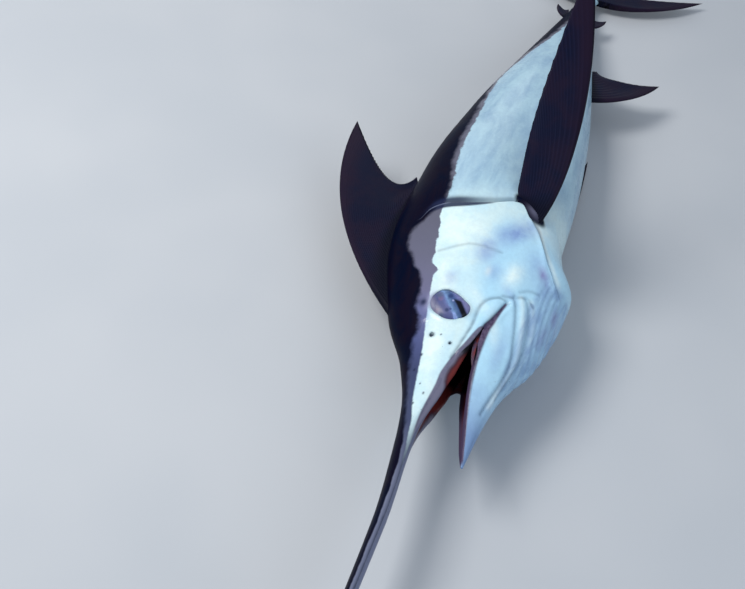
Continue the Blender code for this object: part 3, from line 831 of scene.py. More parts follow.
def fin_sheet(root, tip, lead, trail, hem, rays, sink, u, v):
    """Returns the middle of a fin. u runs from the root to the rear edge, v from front to back."""
    tip, lead, trail, hem = (np.array(place, float) for place in (tip, lead, trail, hem))
    start = root(v[0, :, 0])[None]
    end = bend(tip, trail, root(np.array([1.0]))[0] + hem, v ** 0.75)
    push = (lead - (start[:, :1] + tip) / 2) * (1 - v) ** 1.5
    frayed = 1 - FRAY * np.abs(np.sin(math.pi * v * rays)) * np.clip(v * 4, 0, 1)
    middle = bend(start, (start + end) / 2 + push, end, np.clip(u, 0, 1) * frayed)
    first = middle[3:4] - middle[2:3]
    inward = -first / np.linalg.norm(first, axis=2, keepdims=True)
    return middle + inward * np.where(u < 0, -u / 0.06 * sink, 0.0)


def ray_pattern(rays, u, v):
    """Returns 1 on the rays and -1 between them: whole at the root, and split in two towards the tips."""
    split = np.clip((u - SPLIT_FROM) / SPLIT_OVER, 0, 1)
    return np.cos(2 * math.pi * rays * v) * (1 - split) + np.cos(4 * math.pi * rays * v) * split


print("a ray splits", round(SPLIT_FROM * 100), "% of the way out")

# %% Fins
def fin(name, root, tip, lead, trail, hem, thick, rays, rows, ridge, wave, sink=7.0):
    """Makes a fin. root gives places for shares from front to back, lead and trail bend its two edges."""
    v = np.linspace(0, 1, rays * COLUMNS_PER_RAY + 1)[None, :, None]
    u = np.append([-0.06, -0.03], np.linspace(0, 1, rows + 1))[:, None, None]
    out = np.clip(u, 0, 1)
    middle = fin_sheet(root, tip, lead, trail, hem, rays, sink, u, v)
    across = np.cross(np.gradient(middle, axis=0), np.gradient(middle, axis=1))
    across /= np.maximum(np.linalg.norm(across, axis=2, keepdims=True), 1e-9)
    middle = middle + across * (wave * np.sin(v * 7 + u * 5) * out ** 1.5)
    pattern = ray_pattern(rays, u, v)
    body = thick / 2 * (1 - out) ** 0.8 * (1 - 0.45 * v) + 0.45
    raised = ridge * (1 - 0.5 * out) * (0.5 + 0.5 * pattern) ** 1.6
    edge = np.sqrt(np.clip(v / 0.05, 0, 1)) * np.sqrt(np.clip((1 - v) / 0.03, 0, 1))
    edge = edge * np.sqrt(np.clip((1 - u) / 0.02, 0, 1))
    half_thick = across * (body + raised) * edge
    near, far = middle + half_thick, middle - half_thick
    obj = shaped_grid(name, np.concatenate((near, far[:, -2::-1]), 1))
    v_all = np.concatenate((v[0, :, 0], v[0, -2::-1, 0]))
    keep_values(obj, "ray", np.concatenate((pattern[:, :, 0], pattern[:, -2::-1, 0]), 1))
    keep_values(obj, "along", np.repeat(out[:, 0, 0], len(v_all)))
    keep_values(obj, "across", np.tile(v_all, len(u)))
    close_up(obj, FIN_MERGE)
    bpy.ops.object.shade_smooth()
    return obj


def ridge_root(start, end, height):
    """Returns a fin's root on the middle plane, along the back or the belly."""
    def root(v):
        x = start + (end - start) * v
        return np.stack((x, np.zeros_like(x), height(x)), 1)
    return root


def flank_root(front, rear, sign):
    """Returns a fin's root on a flank, between two (x, z) places."""
    def root(v):
        x = front[0] + (rear[0] - front[0]) * v
        z = front[1] + (rear[1] - front[1]) * v
        return np.stack((x, sign * side(x, z), z), 1)
    return root


def lobe_root(way):
    """Returns the root of the tail fin's upper (1) or lower (-1) lobe, on the end of the stalk."""
    def root(v):
        return np.stack((np.full_like(v, -980.0), np.zeros_like(v), way * 24 * (1 - v)), 1)
    return root


print("a fin has", COLUMNS_PER_RAY, "columns to a ray")

# %% [markdown]
# A swordfish has a tall first dorsal fin, a long sickle-shaped breast fin on each side, a first anal fin, a
# crescent tail, and two tiny fins before it. Each could be its own function, but they differ only in where
# they are rooted, where the tip is and how the edges bend, so one function and a few numbers make all eight.

# %% All eight fins
fins = {
    "first_dorsal": fin("first_dorsal", ridge_root(14, -242, top), (-328, 0, 246), (-128, 0, 240),
                        (-178, 0, 138), (-12, 0, 7), 9, 40, 60, 0.6, 1.5),
    "second_dorsal": fin("second_dorsal", ridge_root(-868, -898, top), (-918, 0, 48), (-884, 0, 50),
                         (-896, 0, 30), (-10, 0, 3), 4, 5, 20, 0.3, 0.5, 4),
    "first_anal": fin("first_anal", ridge_root(-590, -690, bottom), (-722, 0, -178), (-628, 0, -150),
                      (-664, 0, -92), (-10, 0, -8), 7, 13, 40, 0.5, 1.5),
    "second_anal": fin("second_anal", ridge_root(-860, -892, bottom), (-912, 0, -50), (-877, 0, -52),
                       (-888, 0, -32), (-10, 0, -3), 4, 5, 20, 0.3, 0.5, 4),
    "pectoral_left": fin("pectoral_left", flank_root((-172, -70), (-193, -29), 1), (-440, 316, -11),
                         (-266, 181, -101), (-248, 195, -3), (-14, 10, 6), 11, 17, 90, 0.5, 1.5),
    "pectoral_right": fin("pectoral_right", flank_root((-176, -86), (-203, -60), -1), (-520, -70, -106),
                          (-300, -77, -126), (-320, -76, -70), (-14, -1, -4), 4, 17, 90, 0.4, 0.0),
}
for word, way in (("upper", 1), ("lower", -1)):
    fins["tail_" + word] = fin("tail_" + word, lobe_root(way), (-1115, 0, way * 218), (-985, 0, way * 132),
                               (-1022, 0, way * 62), (-34, 0, 0), 12, 17, 60, 0.6, 1.0, 12)
for name, obj in fins.items():
    print(name, len(obj.data.polygons), "faces")

# %% [markdown]
# A finish needs to know where it is on the fish: how far above the white of the face, how deep in the mouth,
# how near to a fold. Those could be painted by hand. Here they are worked out for each point of the skin, in
# millimetres or as shares, and kept as attributes that the skin's finish reads.

# %% Where the colours meet
# From x 240 forward the two lines leave a pale band along the bill's edge: a painted highlight
white_line = line_through([
    (-1000, -4), (-905, -2), (-700, 28), (-600, 55), (-514, 72), (-444, 75), (-356, 73), (-284, 73),
    (-228, 67), (-176, 60), (-119, 56), (-103, 52), (-74, 46), (-49, 43), (-39, 31), (-31, 34), (-9, 30),
    (5, 27), (34, 20), (54, 15), (87, 8), (113, 3), (140, -2), (170, -10), (220, -18), (260, -21.5),
    (300, -22.6), (400, -22.8), (500, -22.8), (700, -21.4)])
dark_line = line_through([
    (-1000, 2), (-905, 4), (-700, 34), (-600, 61), (-514, 79), (-284, 79), (-176, 63), (-140, 59),
    (-126, 66), (-112, 78), (-100, 84), (-83, 83), (-52, 68), (-30, 48), (-10, 43), (13, 41), (30, 29),
    (45, 25), (60, 23), (85, 18.5), (108, 14), (134, 6.5), (170, -3), (220, -14), (260, -17.2),
    (300, -18.6), (400, -19.6), (500, -20.3), (700, -21.2)])
FAR = 60

places = to_fish(read_points(skin))
x, y, z = places.T
lining_share = read_values(skin, "lining")
row = read_values(skin, "row")
outside = lining_share < 0.5
behind_gill = row < GILL_ROW - ROW_SLACK
keep_values(skin, "above_white", np.clip(z - white_line(x), -FAR, FAR))
keep_values(skin, "above_dark", np.clip(z - dark_line(x), -FAR, FAR))
keep_values(skin, "forward", x)
print("at the eye the white ends", round(float(white_line(0))), "mm up and the dark starts at",
      round(float(dark_line(0))), "mm")

# %% [markdown]
# The inside of the mouth goes from the grey of the lip over red to black, and what counts there is how far
# in a place lies, not where along the fish. That could be a gradient between two points, but the mouth
# bends. So each point of the lining gets its distance inwards and down from the rim.

# %% How deep in the mouth
past_gape = np.maximum(x, GAPE)
lower_share = ease(z - (seam(x) + jaw_lip(past_gape)) / 2, 2, -2)
rim_y = outer_y(past_gape, np.where(z > seam(x) - 8, seam(x), jaw_lip(past_gape)))
reach_in = np.clip(rim_y - np.abs(y), 0, FAR)
reach_in = np.hypot(reach_in, np.where(lower_share < 0.5, np.clip(seam(x) - z, 0, FAR), 0))
keep_values(skin, "lower", lower_share)
print("the deepest place lies", round(float(reach_in[~outside].max())), "mm in")

# %% [markdown]
# Dark lines are painted shade where the skin sinks in: in the folds, around the eye and in its socket, behind
# the gill cover, and in the nostrils and the small pores of the snout. Baked occlusion would darken all
# hollows alike. These come from the same traces as the folds themselves, each with a strength of its own.

# %% Painted shade in lines and pits
FOLD_LINES = [(0.6, jaw_bone_edge, 2.1), (0.9, mouth_fold, 2.2), (0.3, cheek_line, 2.1),
              (0.42, jaw_fold, 2.3), (0.42, throat_fold, 2.3), (0.45, joint_crease, 2.3),
              (0.3, joint_crease_low, 2.3)]
PITS = [((51.5, 6.5), 2.9), ((56.5, -18.0), 2.0), ((80, 9), 1.5), ((100, 10), 1.3), ((130, -11), 1.2),
        ((146, -4), 1.2), ((49, -4), 0.9), ((118, -3), 0.9)]


def blot(middle, half_sizes, turn=0.0):
    """Returns a soft oval patch on both flanks, 1 in the middle. turn is in degrees."""
    forward, upward = x - middle[0], z - middle[1]
    c, s = math.cos(math.radians(turn)), math.sin(math.radians(turn))
    along, across = forward * c + upward * s, upward * c - forward * s
    patch = np.exp(-(along / half_sizes[0]) ** 2 - (across / half_sizes[1]) ** 2)
    return patch * (outside & (np.abs(y) > 8))


# Painted shadow in the groove behind the gill cover's edge
slit = ease(z, 84, 66) * ease(z, -112, -70) * outside * (0.45 + 0.55 * ease(z, -5, 45))
slit *= np.where(behind_gill, np.exp(-(np.maximum(GILL_ROW - row - 9, 0) / 5) ** 2), 0)
eye_edge = 0.3 * np.exp(-((eye_share_at(x, z) - 1.0) / 0.07) ** 2)
folds = np.max([strength * swell(places, line, width) for strength, line, width in FOLD_LINES]
               + [eye_edge, 1.1 * blot((9, 32.5), (5.5, 4.2), -20), slit], 0) * outside
for (spot_x, spot_z), reach in PITS:
    folds = np.maximum(folds, 1.5 * np.exp(-((x - spot_x) ** 2 + (z - spot_z) ** 2) / reach ** 2) * outside)
# Painted shade inside the eye's socket
in_socket = (eye_share_at(x, z) < 0.99) & (np.abs(y) < outer_y(x, z) - 0.8)
keep_values(skin, "folds", np.clip(np.maximum(folds, in_socket * 0.6), 0, 1))
print(len(FOLD_LINES), "folds and", len(PITS), "pits are darkened")

# %% [markdown]
# The lower lip is a band of pinkish skin that runs on behind the corner as a fold. The upper lip is rolled
# in, and its grey shows along the edge of the white. Two bands with a width along the jaw say where.

# %% Lips
band_top = line_through([(-27, -64.5), (-12, -59.8), (5, -53.8), (20, -48.5), (54, -50), (89, -55),
                         (124, -63), (160, -72), (190, -81)])
band_width = line_through([(-27, 2.0), (-12, 3.6), (5, 7.0), (16, 9.5), (30, 8.5), (54, 7.0), (80, 5.8),
                           (110, 5.0), (150, 4.4), (185, 3.6)])
upper_lip_width = line_through([(15, 0), (26, 4), (51, 5.6), (73, 7.7), (94, 7.5), (114, 4.5), (133, 3),
                                (153, 2), (180, 1)])
LIP_REACH = 4.6
on_upper = lower_share < 0.5
below_top = band_top(x) - z
lip_band = ease(below_top, -1.5, 0) * ease(below_top - band_width(x), 1.5, -1.5)
lip_band = np.where(outside, lip_band, lower_share > 0.5) * ease(x, -30, -25) * ease(x, 190, 182)
over_rim = z - seam(x) - upper_lip_width(x)
upper_lip = np.where(outside, ease(over_rim, 1.2, -1.2) * on_upper, on_upper)
upper_lip = upper_lip * ease(x, 14, 22) * ease(x, 210, 170)
past_grey = np.maximum(upper_lip_width(x) - LIP_REACH, 0) * on_upper * ease(x, 14, 22)
past_grey_outside = np.clip(past_grey - np.maximum(z - seam(x), 0), 0, FAR) * (upper_lip > 0.5)
keep_values(skin, "lip_band", lip_band)
keep_values(skin, "upper_lip", upper_lip)
keep_values(skin, "inward", np.where(lining_share > 0.1, reach_in + past_grey, past_grey_outside))
print("the upper lip is up to", round(float(upper_lip_width(73)), 1), "mm wide")

# %% [markdown]
# In the upper corner of the gill cover shade is painted, and along the cover's edge a thin highlight is
# painted. A point's row says only roughly how far from the edge it is, so the edge is read back as a line and
# the distance ahead of it is measured in millimetres.

# %% The gill cover's corner and the fin's base
on_edge = outside & (np.abs(row - GILL_ROW) < 0.1) & (y > 3)
edge_order = np.argsort(z[on_edge])
ahead = x - np.interp(z, z[on_edge][edge_order], x[on_edge][edge_order])
corner_width = 8.5 * ease(z, -20, 50)
# Painted shade in the gill cover's upper corner
corner = ease(ahead - corner_width, 1.3, -1.3) * ease(corner_width, 0.3, 2.0) * ease(z, 74, 60)
keep_values(skin, "corner", corner * (row > GILL_ROW - ROW_SLACK) * (ahead < 20) * outside)
# Painted highlight along the gill cover's edge
cover_edge_highlight = np.exp(-((row - GILL_ROW - 0.4) / 1.0) ** 2) * ease(z, 48, 58) * ease(z, 84, 72)
keep_values(skin, "cover_edge_highlight", cover_edge_highlight * outside)
keep_values(skin, "fin_base", ease(fin_base_share(x, y, z), 1.15, 0.9) * outside * behind_gill)
# A painted sheen on the raised base of the left breast fin
keep_values(skin, "fin_base_sheen", blot((-175, -56), (10, 4.5), -63) * (y > 0))
print("the dark corner is up to", round(float(corner_width.max()), 1), "mm wide")

# %% [markdown]
# The white of the head isn't one white. It is bluer on the lower cheek and on the throat, where shade is
# painted. It has patches of painted purple-blue sheen and flushed spots over blood vessels, and it has
# painted highlights where the light falls on it. Noise alone would put them anywhere, so soft ovals are laid
# one by one where the bones and muscles are, and the finish breaks their borders up with noise.

# %% Soft patches of colour, painted sheen and painted highlights
def blots(*ovals):
    """Returns the strongest of several soft ovals, each (strength, middle, half sizes, turn)."""
    return np.max([strength * blot(*oval) for strength, *oval in ovals], 0)


# A painted sheen: purple-blue patches over the cheek, the gill cover and the jaw
sheen = blots((1.0, (-132, -46), (32, 14), 38), (0.85, (-87, -18), (18, 12), 10),
              (0.45, (-60, -36), (13, 10)), (0.4, (-96, -86), (30, 16), -30), (0.5, (24, 24), (18, 4), -20),
              (0.5, (-32, 12), (10, 8)), (0.35, (-40, -64), (14, 6), -60), (0.35, (40, -78), (40, 8), 3))
# Painted highlights: bright patches on the upper face, the snout and the cheek's bulges, and a small glint
painted_highlight = blots((0.9, (-102, 22), (30, 30)), (0.9, (-34, 20), (26, 12), -30), (0.8, (70, -2), (46, 12), -8),
             (1.0, (-66, -61), (17, 11), 10), (0.6, (-14, -30), (24, 8), -45), (0.5, (20, -62), (26, 7), -24),
             (1.2, (-57, -29), (7, 4)))
# Painted highlights as bright streaks along the throat's folds and just behind the gill cover's lower edge
highlight_lines = [0.75 * swell(places, throat_fold + [0, 0, -7], 4.5) * outside,
              0.7 * swell(places, (jaw_fold + throat_fold) / 2, 4) * outside,
              0.9 * np.exp(-((ahead + 10) / 6.5) ** 2) * ease(z, -50, -68) * ease(z, -128, -112) * outside]
keep_values(skin, "sheen", np.maximum(sheen, 0.3 * ease(x, 60, 110) * (z < -50)))
keep_values(skin, "painted_highlight", np.max([painted_highlight, *highlight_lines], 0))
keep_values(skin, "lilac", blots((1.0, (5, 24.5), (12, 5))))
keep_values(skin, "flush", blots((0.9, (-92, -96), (11, 6), -40), (0.8, (-53, -130), (14, 6)),
                                 (0.35, (-20, -122), (22, 6), 10), (0.5, (-185, -62), (10, 14))))
print("the glow is strongest at", tuple(round(float(v)) for v in places[np.argmax(painted_highlight)]))

# %% Wide fields of colour and of painted shade
cheek_low = np.interp(x, [-170, -60, 20, 60, 190], [-20, -22, -32, -40, -50])
fold_low = np.interp(x, throat_fold[::-1, 0], throat_fold[::-1, 2])
flank_share = ease(row, GILL_ROW - 1, GILL_ROW - 9) * (0.5 + 0.5 * ease(row, GILL_ROW - 6, GILL_ROW - 60))
flank_share *= 1 - 0.85 * ease(x, -270, -200) * ease(z, -35, -62)
# Painted shade: the head below the cheek turns pale blue
keep_values(skin, "cheek_shade", outside * ease(x, -170, -120) * ease(z - cheek_low, 16, -16))
# Painted shade: the throat below the folds is a darker blue
keep_values(skin, "throat_shade", outside * ease(x, -104, -86) * ease(x, 110, 60) * ease(z - fold_low, 1, -8))
keep_values(skin, "flank", outside * flank_share)
# A bluer painted sheen towards the jaw's tip
keep_values(skin, "jaw_front", 0.95 * ease(x, 80, 165) * (z < -50))
keep_values(skin, "bill", ease(x, 150, 240) * (z > -50))
print("the skin keeps", len(skin.data.attributes), "attributes")

# %% [markdown]
# Finishes are node trees. A few short helpers keep each tree readable: one adds a node and plugs in its
# inputs, the others are the steps that every finish here takes, such as a soft threshold or a mix.

# %% Helpers for finishes
def srgb(red, green, blue):
    """Turns a colour as a screen shows it (0 to 255) into the light it stands for."""
    values = np.array((red, green, blue)) / 255
    linear = np.where(values <= 0.04045, values / 12.92, ((values + 0.055) / 1.055) ** 2.4)
    return (*[float(v) for v in linear], 1.0)


def node(tree, kind, inputs=None, **settings):
    """Adds a shader node, sets how it works, and links or writes its inputs."""
    made = tree.nodes.new("ShaderNode" + kind)
    made.location = (220 * len(tree.nodes), 0)
    for key, value in settings.items():
        setattr(made, key, value)
    for key, value in (inputs or {}).items():
        if isinstance(value, bpy.types.NodeSocket):
            tree.links.new(value, made.inputs[key])
        else:
            made.inputs[key].default_value = value
    return made


def read(tree, name):
    """Reads a number that the mesh keeps for each point."""
    return node(tree, "Attribute", attribute_name=name).outputs["Fac"]


def calc(tree, operation, a, b=0.0):
    """Adds one step of arithmetic."""
    return node(tree, "Math", {0: a, 1: b}, operation=operation).outputs[0]


def times(tree, a, b):
    """Multiplies two numbers."""
    return calc(tree, "MULTIPLY", a, b)


def fade(tree, value, start, end, low=0.0, high=1.0):
    """A smooth step from low at start to high at end."""
    limits = {"From Min": start, "From Max": end, "To Min": low, "To Max": high}
    return node(tree, "MapRange", {"Value": value, **limits}, interpolation_type="SMOOTHSTEP").outputs[0]


def mix(tree, share, a, b):
    """Mixes two colours, with none of b at share 0."""
    return node(tree, "Mix", {0: share, 6: a, 7: b}, data_type="RGBA").outputs[2]


print("a mid grey on screen is", round(srgb(128, 128, 128)[0], 3), "of full light")

# %% Helpers for layers and patterns
def over(tree, colour, name, shade, strength=1.0):
    """Lays a shade over a colour where the mesh's values of this name say."""
    return mix(tree, times(tree, read(tree, name), strength), colour, shade)


def blend_along(tree, value, steps):
    """Returns a colour that follows value through steps of (value, colour)."""
    start, end = steps[0][0], steps[-1][0]
    limits = {"From Min": float(start), "From Max": float(end)}
    share = node(tree, "MapRange", {"Value": value, **limits}).outputs[0]
    made = node(tree, "ValToRGB", {"Fac": share})
    stops = made.color_ramp.elements
    while len(stops) < len(steps):
        stops.new(0.5)
    for stop, (place, shade) in zip(stops, steps):
        stop.position = (place - start) / (end - start)
        stop.color = srgb(*shade)
    return made.outputs[0]


def noise(tree, scale, detail=3.0, roughness=0.5, distortion=0.0, stretch=(1, 1, 1)):
    """Reads a cloud pattern on the piece's own coordinates, as a number around 0.5."""
    place = node(tree, "TexCoord").outputs["Object"]
    if stretch != (1, 1, 1):
        place = node(tree, "Mapping", {"Vector": place, "Scale": stretch}).outputs[0]
    return node(tree, "TexNoise", {"Vector": place, "Scale": scale, "Detail": detail, "Roughness": roughness,
                                   "Distortion": distortion}).outputs[0]


def ragged_noise(tree, scale, detail, roughness, reach):
    """Returns a number that wavers around 0 by about a reach."""
    return times(tree, calc(tree, "SUBTRACT", noise(tree, scale, detail, roughness), 0.5), reach)


def new_group(name, inputs, outputs):
    """Starts a node group with named number inputs and outputs, and returns it with its two ends."""
    group = bpy.data.node_groups.new(name, "ShaderNodeTree")
    for label, value in inputs.items():
        socket = group.interface.new_socket(label, in_out="INPUT", socket_type="NodeSocketFloat")
        socket.default_value = value
    for label, kind in outputs.items():
        group.interface.new_socket(label, in_out="OUTPUT", socket_type=kind)
    return group, group.nodes.new("NodeGroupInput").outputs, group.nodes.new("NodeGroupOutput").inputs


def use(tree, group, inputs):
    """Places a node group in a tree with its own values, and returns its outputs."""
    made = node(tree, "Group", node_tree=group)
    for key, value in inputs.items():
        if isinstance(value, bpy.types.NodeSocket):
            tree.links.new(value, made.inputs[key])
        else:
            made.inputs[key].default_value = value
    return made.outputs


print("tools for layers, clouds and node groups are ready")

# %% [markdown]
# Two effects are shared. The torn edge turns a distance into a mask whose border is ragged, as pigment is.
# The wet film is the slime and water on a fresh fish: low dimples and fine ripples that break up highlights.

# %% Shared effects
torn_edge, ends, result = new_group("torn_edge", {"Distance": 0.0, "Ragged": 4.0, "Soft": 1.5, "Scale": 60.0},
                                    {"Mask": "NodeSocketFloat"})
coarse = noise(torn_edge, 1.0, 4, 0.6)
torn_edge.links.new(ends["Scale"], coarse.node.inputs["Scale"])
offset = times(torn_edge, calc(torn_edge, "SUBTRACT", coarse, 0.5), ends["Ragged"])
moved = calc(torn_edge, "ADD", ends["Distance"], times(torn_edge, offset, 3.0))
torn_edge.links.new(fade(torn_edge, calc(torn_edge, "DIVIDE", moved, ends["Soft"]), -1, 1), result["Mask"])

wet_film, ends, result = new_group("wet_film", {"Strength": 0.3, "Ripple": 0.4},
                                   {"Normal": "NodeSocketVector", "Roughness": "NodeSocketFloat"})
dimples = noise(wet_film, 45, 2, 0.5)
ripples = noise(wet_film, 260, 3, 0.6, 0.6, (0.6, 1, 1))
height = calc(wet_film, "ADD", dimples, times(wet_film, ripples, ends["Ripple"]))
film = node(wet_film, "Bump", {"Height": height, "Strength": ends["Strength"], "Distance": 0.0012})
wet_film.links.new(film.outputs[0], result["Normal"])
wet_film.links.new(fade(wet_film, noise(wet_film, 70, 3, 0.6), 0.3, 0.7, 0.22, 0.42), result["Roughness"])
print("torn_edge has", len(torn_edge.nodes), "nodes and wet_film", len(wet_film.nodes))

# %% [markdown]
# A swordfish has no scales when grown. Its back is blue-black with a maroon cast, its face and belly are
# silver-white with a blue sheen, and the border between them is ragged on the head. One finish covers the
# whole skin, since it is one skin: each colour is laid over the last through its own mask.

# %% Colours of the skin
WHITE = srgb(214, 238, 240)
# White of the painted highlights
HIGHLIGHT_WHITE = srgb(240, 255, 250)
# Pale blue: a random tone of the white, and the painted shade of the lower head
BLUE_TONE_AND_SHADE = srgb(178, 224, 248)
# Blue of the painted sheen at the jaw's tip
JAW_BLUE = srgb(122, 150, 192)
# Purple-blue of the painted sheen
SHEEN_BLUE = srgb(126, 150, 204)
FLUSH_PINK = srgb(136, 138, 186)
# Darker blue of the painted shade on the throat
THROAT_SHADE_BLUE = srgb(126, 156, 198)
FLANK_SILVER = srgb(176, 208, 222)
FLANK_SHADE = srgb(146, 178, 202)
STRIP_GREY = srgb(62, 70, 104)
# The last step, on the bill, colours the pale band along its edge: a painted highlight
STRIP_STEPS = [(-120, (98, 98, 114)), (-60, (104, 104, 124)), (-10, (110, 109, 138)), (20, (104, 108, 150)),
               (60, (80, 88, 132)), (100, (62, 70, 104)), (170, (66, 74, 104)), (250, (112, 117, 140))]
LILAC = srgb(176, 176, 208)
BACK_BLUE = srgb(3, 10, 33)
BACK_MAROON = srgb(16, 12, 30)
# Painted shade in folds, pits, the socket and the gill groove, and in the gill cover's corner
FOLD_SHADE = srgb(34, 42, 72)
BILL_BLADE = srgb(82, 88, 110)
BILL_GREY = srgb(112, 118, 146)
PALATE_GREY = srgb(118, 116, 136)
MOUTH_RED = srgb(112, 44, 42)
MOUTH_MAUVE = srgb(62, 40, 52)
# Black of the painted shade deep in the mouth
MOUTH_SHADE_BLACK = srgb(8, 7, 12)
LIP_DARK = srgb(70, 58, 82)
LIP_PINK = srgb(104, 92, 116)
LIP_GREY = srgb(104, 104, 126)
# Pale line of the painted highlight on the gill cover's edge
EDGE_HIGHLIGHT = srgb(150, 160, 192)


def new_material(name, roughness, coat=0.0, coat_roughness=0.1, specular=0.5):
    """Starts a material, and returns it with its tree and its shader."""
    material = bpy.data.materials.new(name)
    material.use_nodes = True
    shader = material.node_tree.nodes["Principled BSDF"]
    for socket, value in (("Roughness", roughness), ("Metallic", 0.0), ("Coat Weight", coat),
                          ("Coat Roughness", coat_roughness), ("Specular IOR Level", specular)):
        shader.inputs[socket].default_value = value
    return material, material.node_tree, shader


print("the back's blue is", tuple(round(v, 4) for v in BACK_BLUE[:3]))

# %% The white side
skin_finish, tree, shader = new_material("wet_fish_skin", 0.35, 0.3, 0.16, 0.02)
cloud = fade(tree, noise(tree, 22, 4, 0.6), 0.35, 0.65)
fine = fade(tree, noise(tree, 160, 4, 0.65), 0.3, 0.7)
streaks = noise(tree, 90, 3, 0.6, 0.4, (0.25, 1, 1))
silver = fade(tree, noise(tree, 40, 5, 0.6, 0.3, (0.3, 1, 1)), 0.3, 0.72)
forward = read(tree, "forward")
# A random pale blue tone in the white
colour = mix(tree, fade(tree, cloud, 0, 1, 0, 0.35), WHITE, BLUE_TONE_AND_SHADE)
# Painted shade on the lower head
colour = over(tree, colour, "cheek_shade", BLUE_TONE_AND_SHADE, 0.85)
# Painted highlights over the white
colour = over(tree, colour, "painted_highlight", HIGHLIGHT_WHITE, fade(tree, cloud, 0, 1, 1, 0.6))
# Painted sheen on the cheek, the gill cover and the jaw
colour = over(tree, colour, "sheen", SHEEN_BLUE, fade(tree, cloud, 0, 1, 0.6, 1))
# A bluer painted sheen at the jaw's tip
colour = over(tree, colour, "jaw_front", JAW_BLUE)
# Painted shade on the throat, streaked along its pleats
colour = over(tree, colour, "throat_shade", THROAT_SHADE_BLUE, fade(tree, streaks, 0.3, 0.7, 0.35, 0.8))
colour = over(tree, colour, "flush", FLUSH_PINK, fade(tree, streaks, 0.3, 0.6, 0.5, 1))
colour = over(tree, colour, "flank", mix(tree, silver, FLANK_SILVER, FLANK_SHADE))
colour = over(tree, colour, "bill", BILL_BLADE)
colour = mix(tree, fade(tree, fine, 0, 1, 0, 0.06), colour, STRIP_GREY)
specks = fade(tree, noise(tree, 420, 2, 0.5), 0.72, 0.76, 0, 0.8)
colour = mix(tree, times(tree, fade(tree, forward, 30, 60), specks), colour, STRIP_GREY)
print("the white side takes", len(tree.nodes), "nodes")

# %% The grey strip and the dark back
ragged = fade(tree, forward, 10, -40, 1.2, 3.8)
grey = use(tree, torn_edge, {"Distance": read(tree, "above_white"), "Ragged": ragged, "Soft": 1.2,
                             "Scale": 60})["Mask"]
colour = mix(tree, grey, colour, blend_along(tree, forward, STRIP_STEPS))
colour = over(tree, colour, "lilac", LILAC, 0.9)
ragged = fade(tree, forward, 100, 220, 6, 1.5)
soft = fade(tree, forward, 100, 220, 4.5, 0.9)
dark = use(tree, torn_edge, {"Distance": read(tree, "above_dark"), "Ragged": ragged, "Soft": soft,
                             "Scale": 40})["Mask"]
maroon = fade(tree, noise(tree, 30, 5, 0.65, 0.5, (0.5, 1, 1)), 0.4, 0.65)
colour = mix(tree, dark, colour, mix(tree, maroon, BACK_BLUE, BACK_MAROON))
print("with strip and back it takes", len(tree.nodes))

# %% Lips, folds and the fin's base
# Painted shade in the gill cover's corner
colour = over(tree, colour, "corner", FOLD_SHADE, 0.95)
colour = over(tree, colour, "upper_lip", mix(tree, fine, LIP_GREY, PALATE_GREY))
colour = over(tree, colour, "lip_band", mix(tree, fine, LIP_PINK, LIP_DARK))
# Painted shade in the folds and pits
colour = over(tree, colour, "folds", FOLD_SHADE, 0.92)
base_colour = mix(tree, fade(tree, cloud, 0.2, 0.9), BACK_BLUE, BACK_MAROON)
# Painted sheen on the fin's base
base_colour = over(tree, base_colour, "fin_base_sheen", LIP_GREY, 0.8)
colour = over(tree, colour, "fin_base", base_colour)
# Painted highlight along the gill cover's edge
colour = over(tree, colour, "cover_edge_highlight", EDGE_HIGHLIGHT, 0.7)
print("with lips and folds it takes", len(tree.nodes))

# %% [markdown]
# The inside of the mouth is grey on the rolled lip, then red where the blood shows, and black further in and
# towards the throat, which is painted shade. Each step is a distance in from the rim, and a little noise
# keeps the borders from running like rings.

# %% Inside the mouth
inward = read(tree, "inward")
ragged_in = calc(tree, "ADD", inward, ragged_noise(tree, 60, 3, 0.5, 5))
in_mouth = fade(tree, forward, 195, 150)
past_lip = calc(tree, "SUBTRACT", ragged_in, fade(tree, forward, 92, 130, 0.5, 9))
red = times(tree, fade(tree, past_lip, -1, 5), in_mouth)
palate_red = mix(tree, fade(tree, past_lip, 2, 9), MOUTH_MAUVE, MOUTH_RED)
lining_colour = mix(tree, red, mix(tree, in_mouth, BILL_GREY, PALATE_GREY), palate_red)
# Painted shade: black at the back of the mouth and far in from the rim
far_back = fade(tree, calc(tree, "ADD", forward, times(tree, cloud, 10)), 80, 56)
deep_shade = calc(tree, "MAXIMUM", far_back, fade(tree, ragged_in, 30, 44))
lining_colour = mix(tree, deep_shade, lining_colour, MOUTH_SHADE_BLACK)
lower_lip = mix(tree, fade(tree, inward, 5, 12), LIP_DARK, MOUTH_RED)
lining_colour = over(tree, lining_colour, "lower", mix(tree, deep_shade, lower_lip, MOUTH_SHADE_BLACK))
colour = mix(tree, fade(tree, inward, 0.2, 1.4), colour, lining_colour)
tree.links.new(colour, shader.inputs["Base Color"])
print("with the mouth it takes", len(tree.nodes))

# %% [markdown]
# Wet white skin shines, and the dark back is duller, because its pigment lies in a rougher skin. A clear
# coat over everything would turn the back grey, so the coat goes where the skin isn't dark.

# %% The shine of the skin
film = use(tree, wet_film, {"Strength": 0.35, "Ripple": 0.3})
tree.links.new(film["Normal"], shader.inputs["Normal"])
dull = calc(tree, "MAXIMUM", dark, read(tree, "fin_base"))
dull = calc(tree, "MAXIMUM", dull, times(tree, read(tree, "lip_band"), 0.8))
tree.links.new(fade(tree, dull, 0, 1, film["Roughness"], 0.42), shader.inputs["Roughness"])
tree.links.new(fade(tree, dull, 0, 1, 0.35, 0.0), shader.inputs["Coat Weight"])
print("the skin's finish has", len(tree.nodes), "nodes")

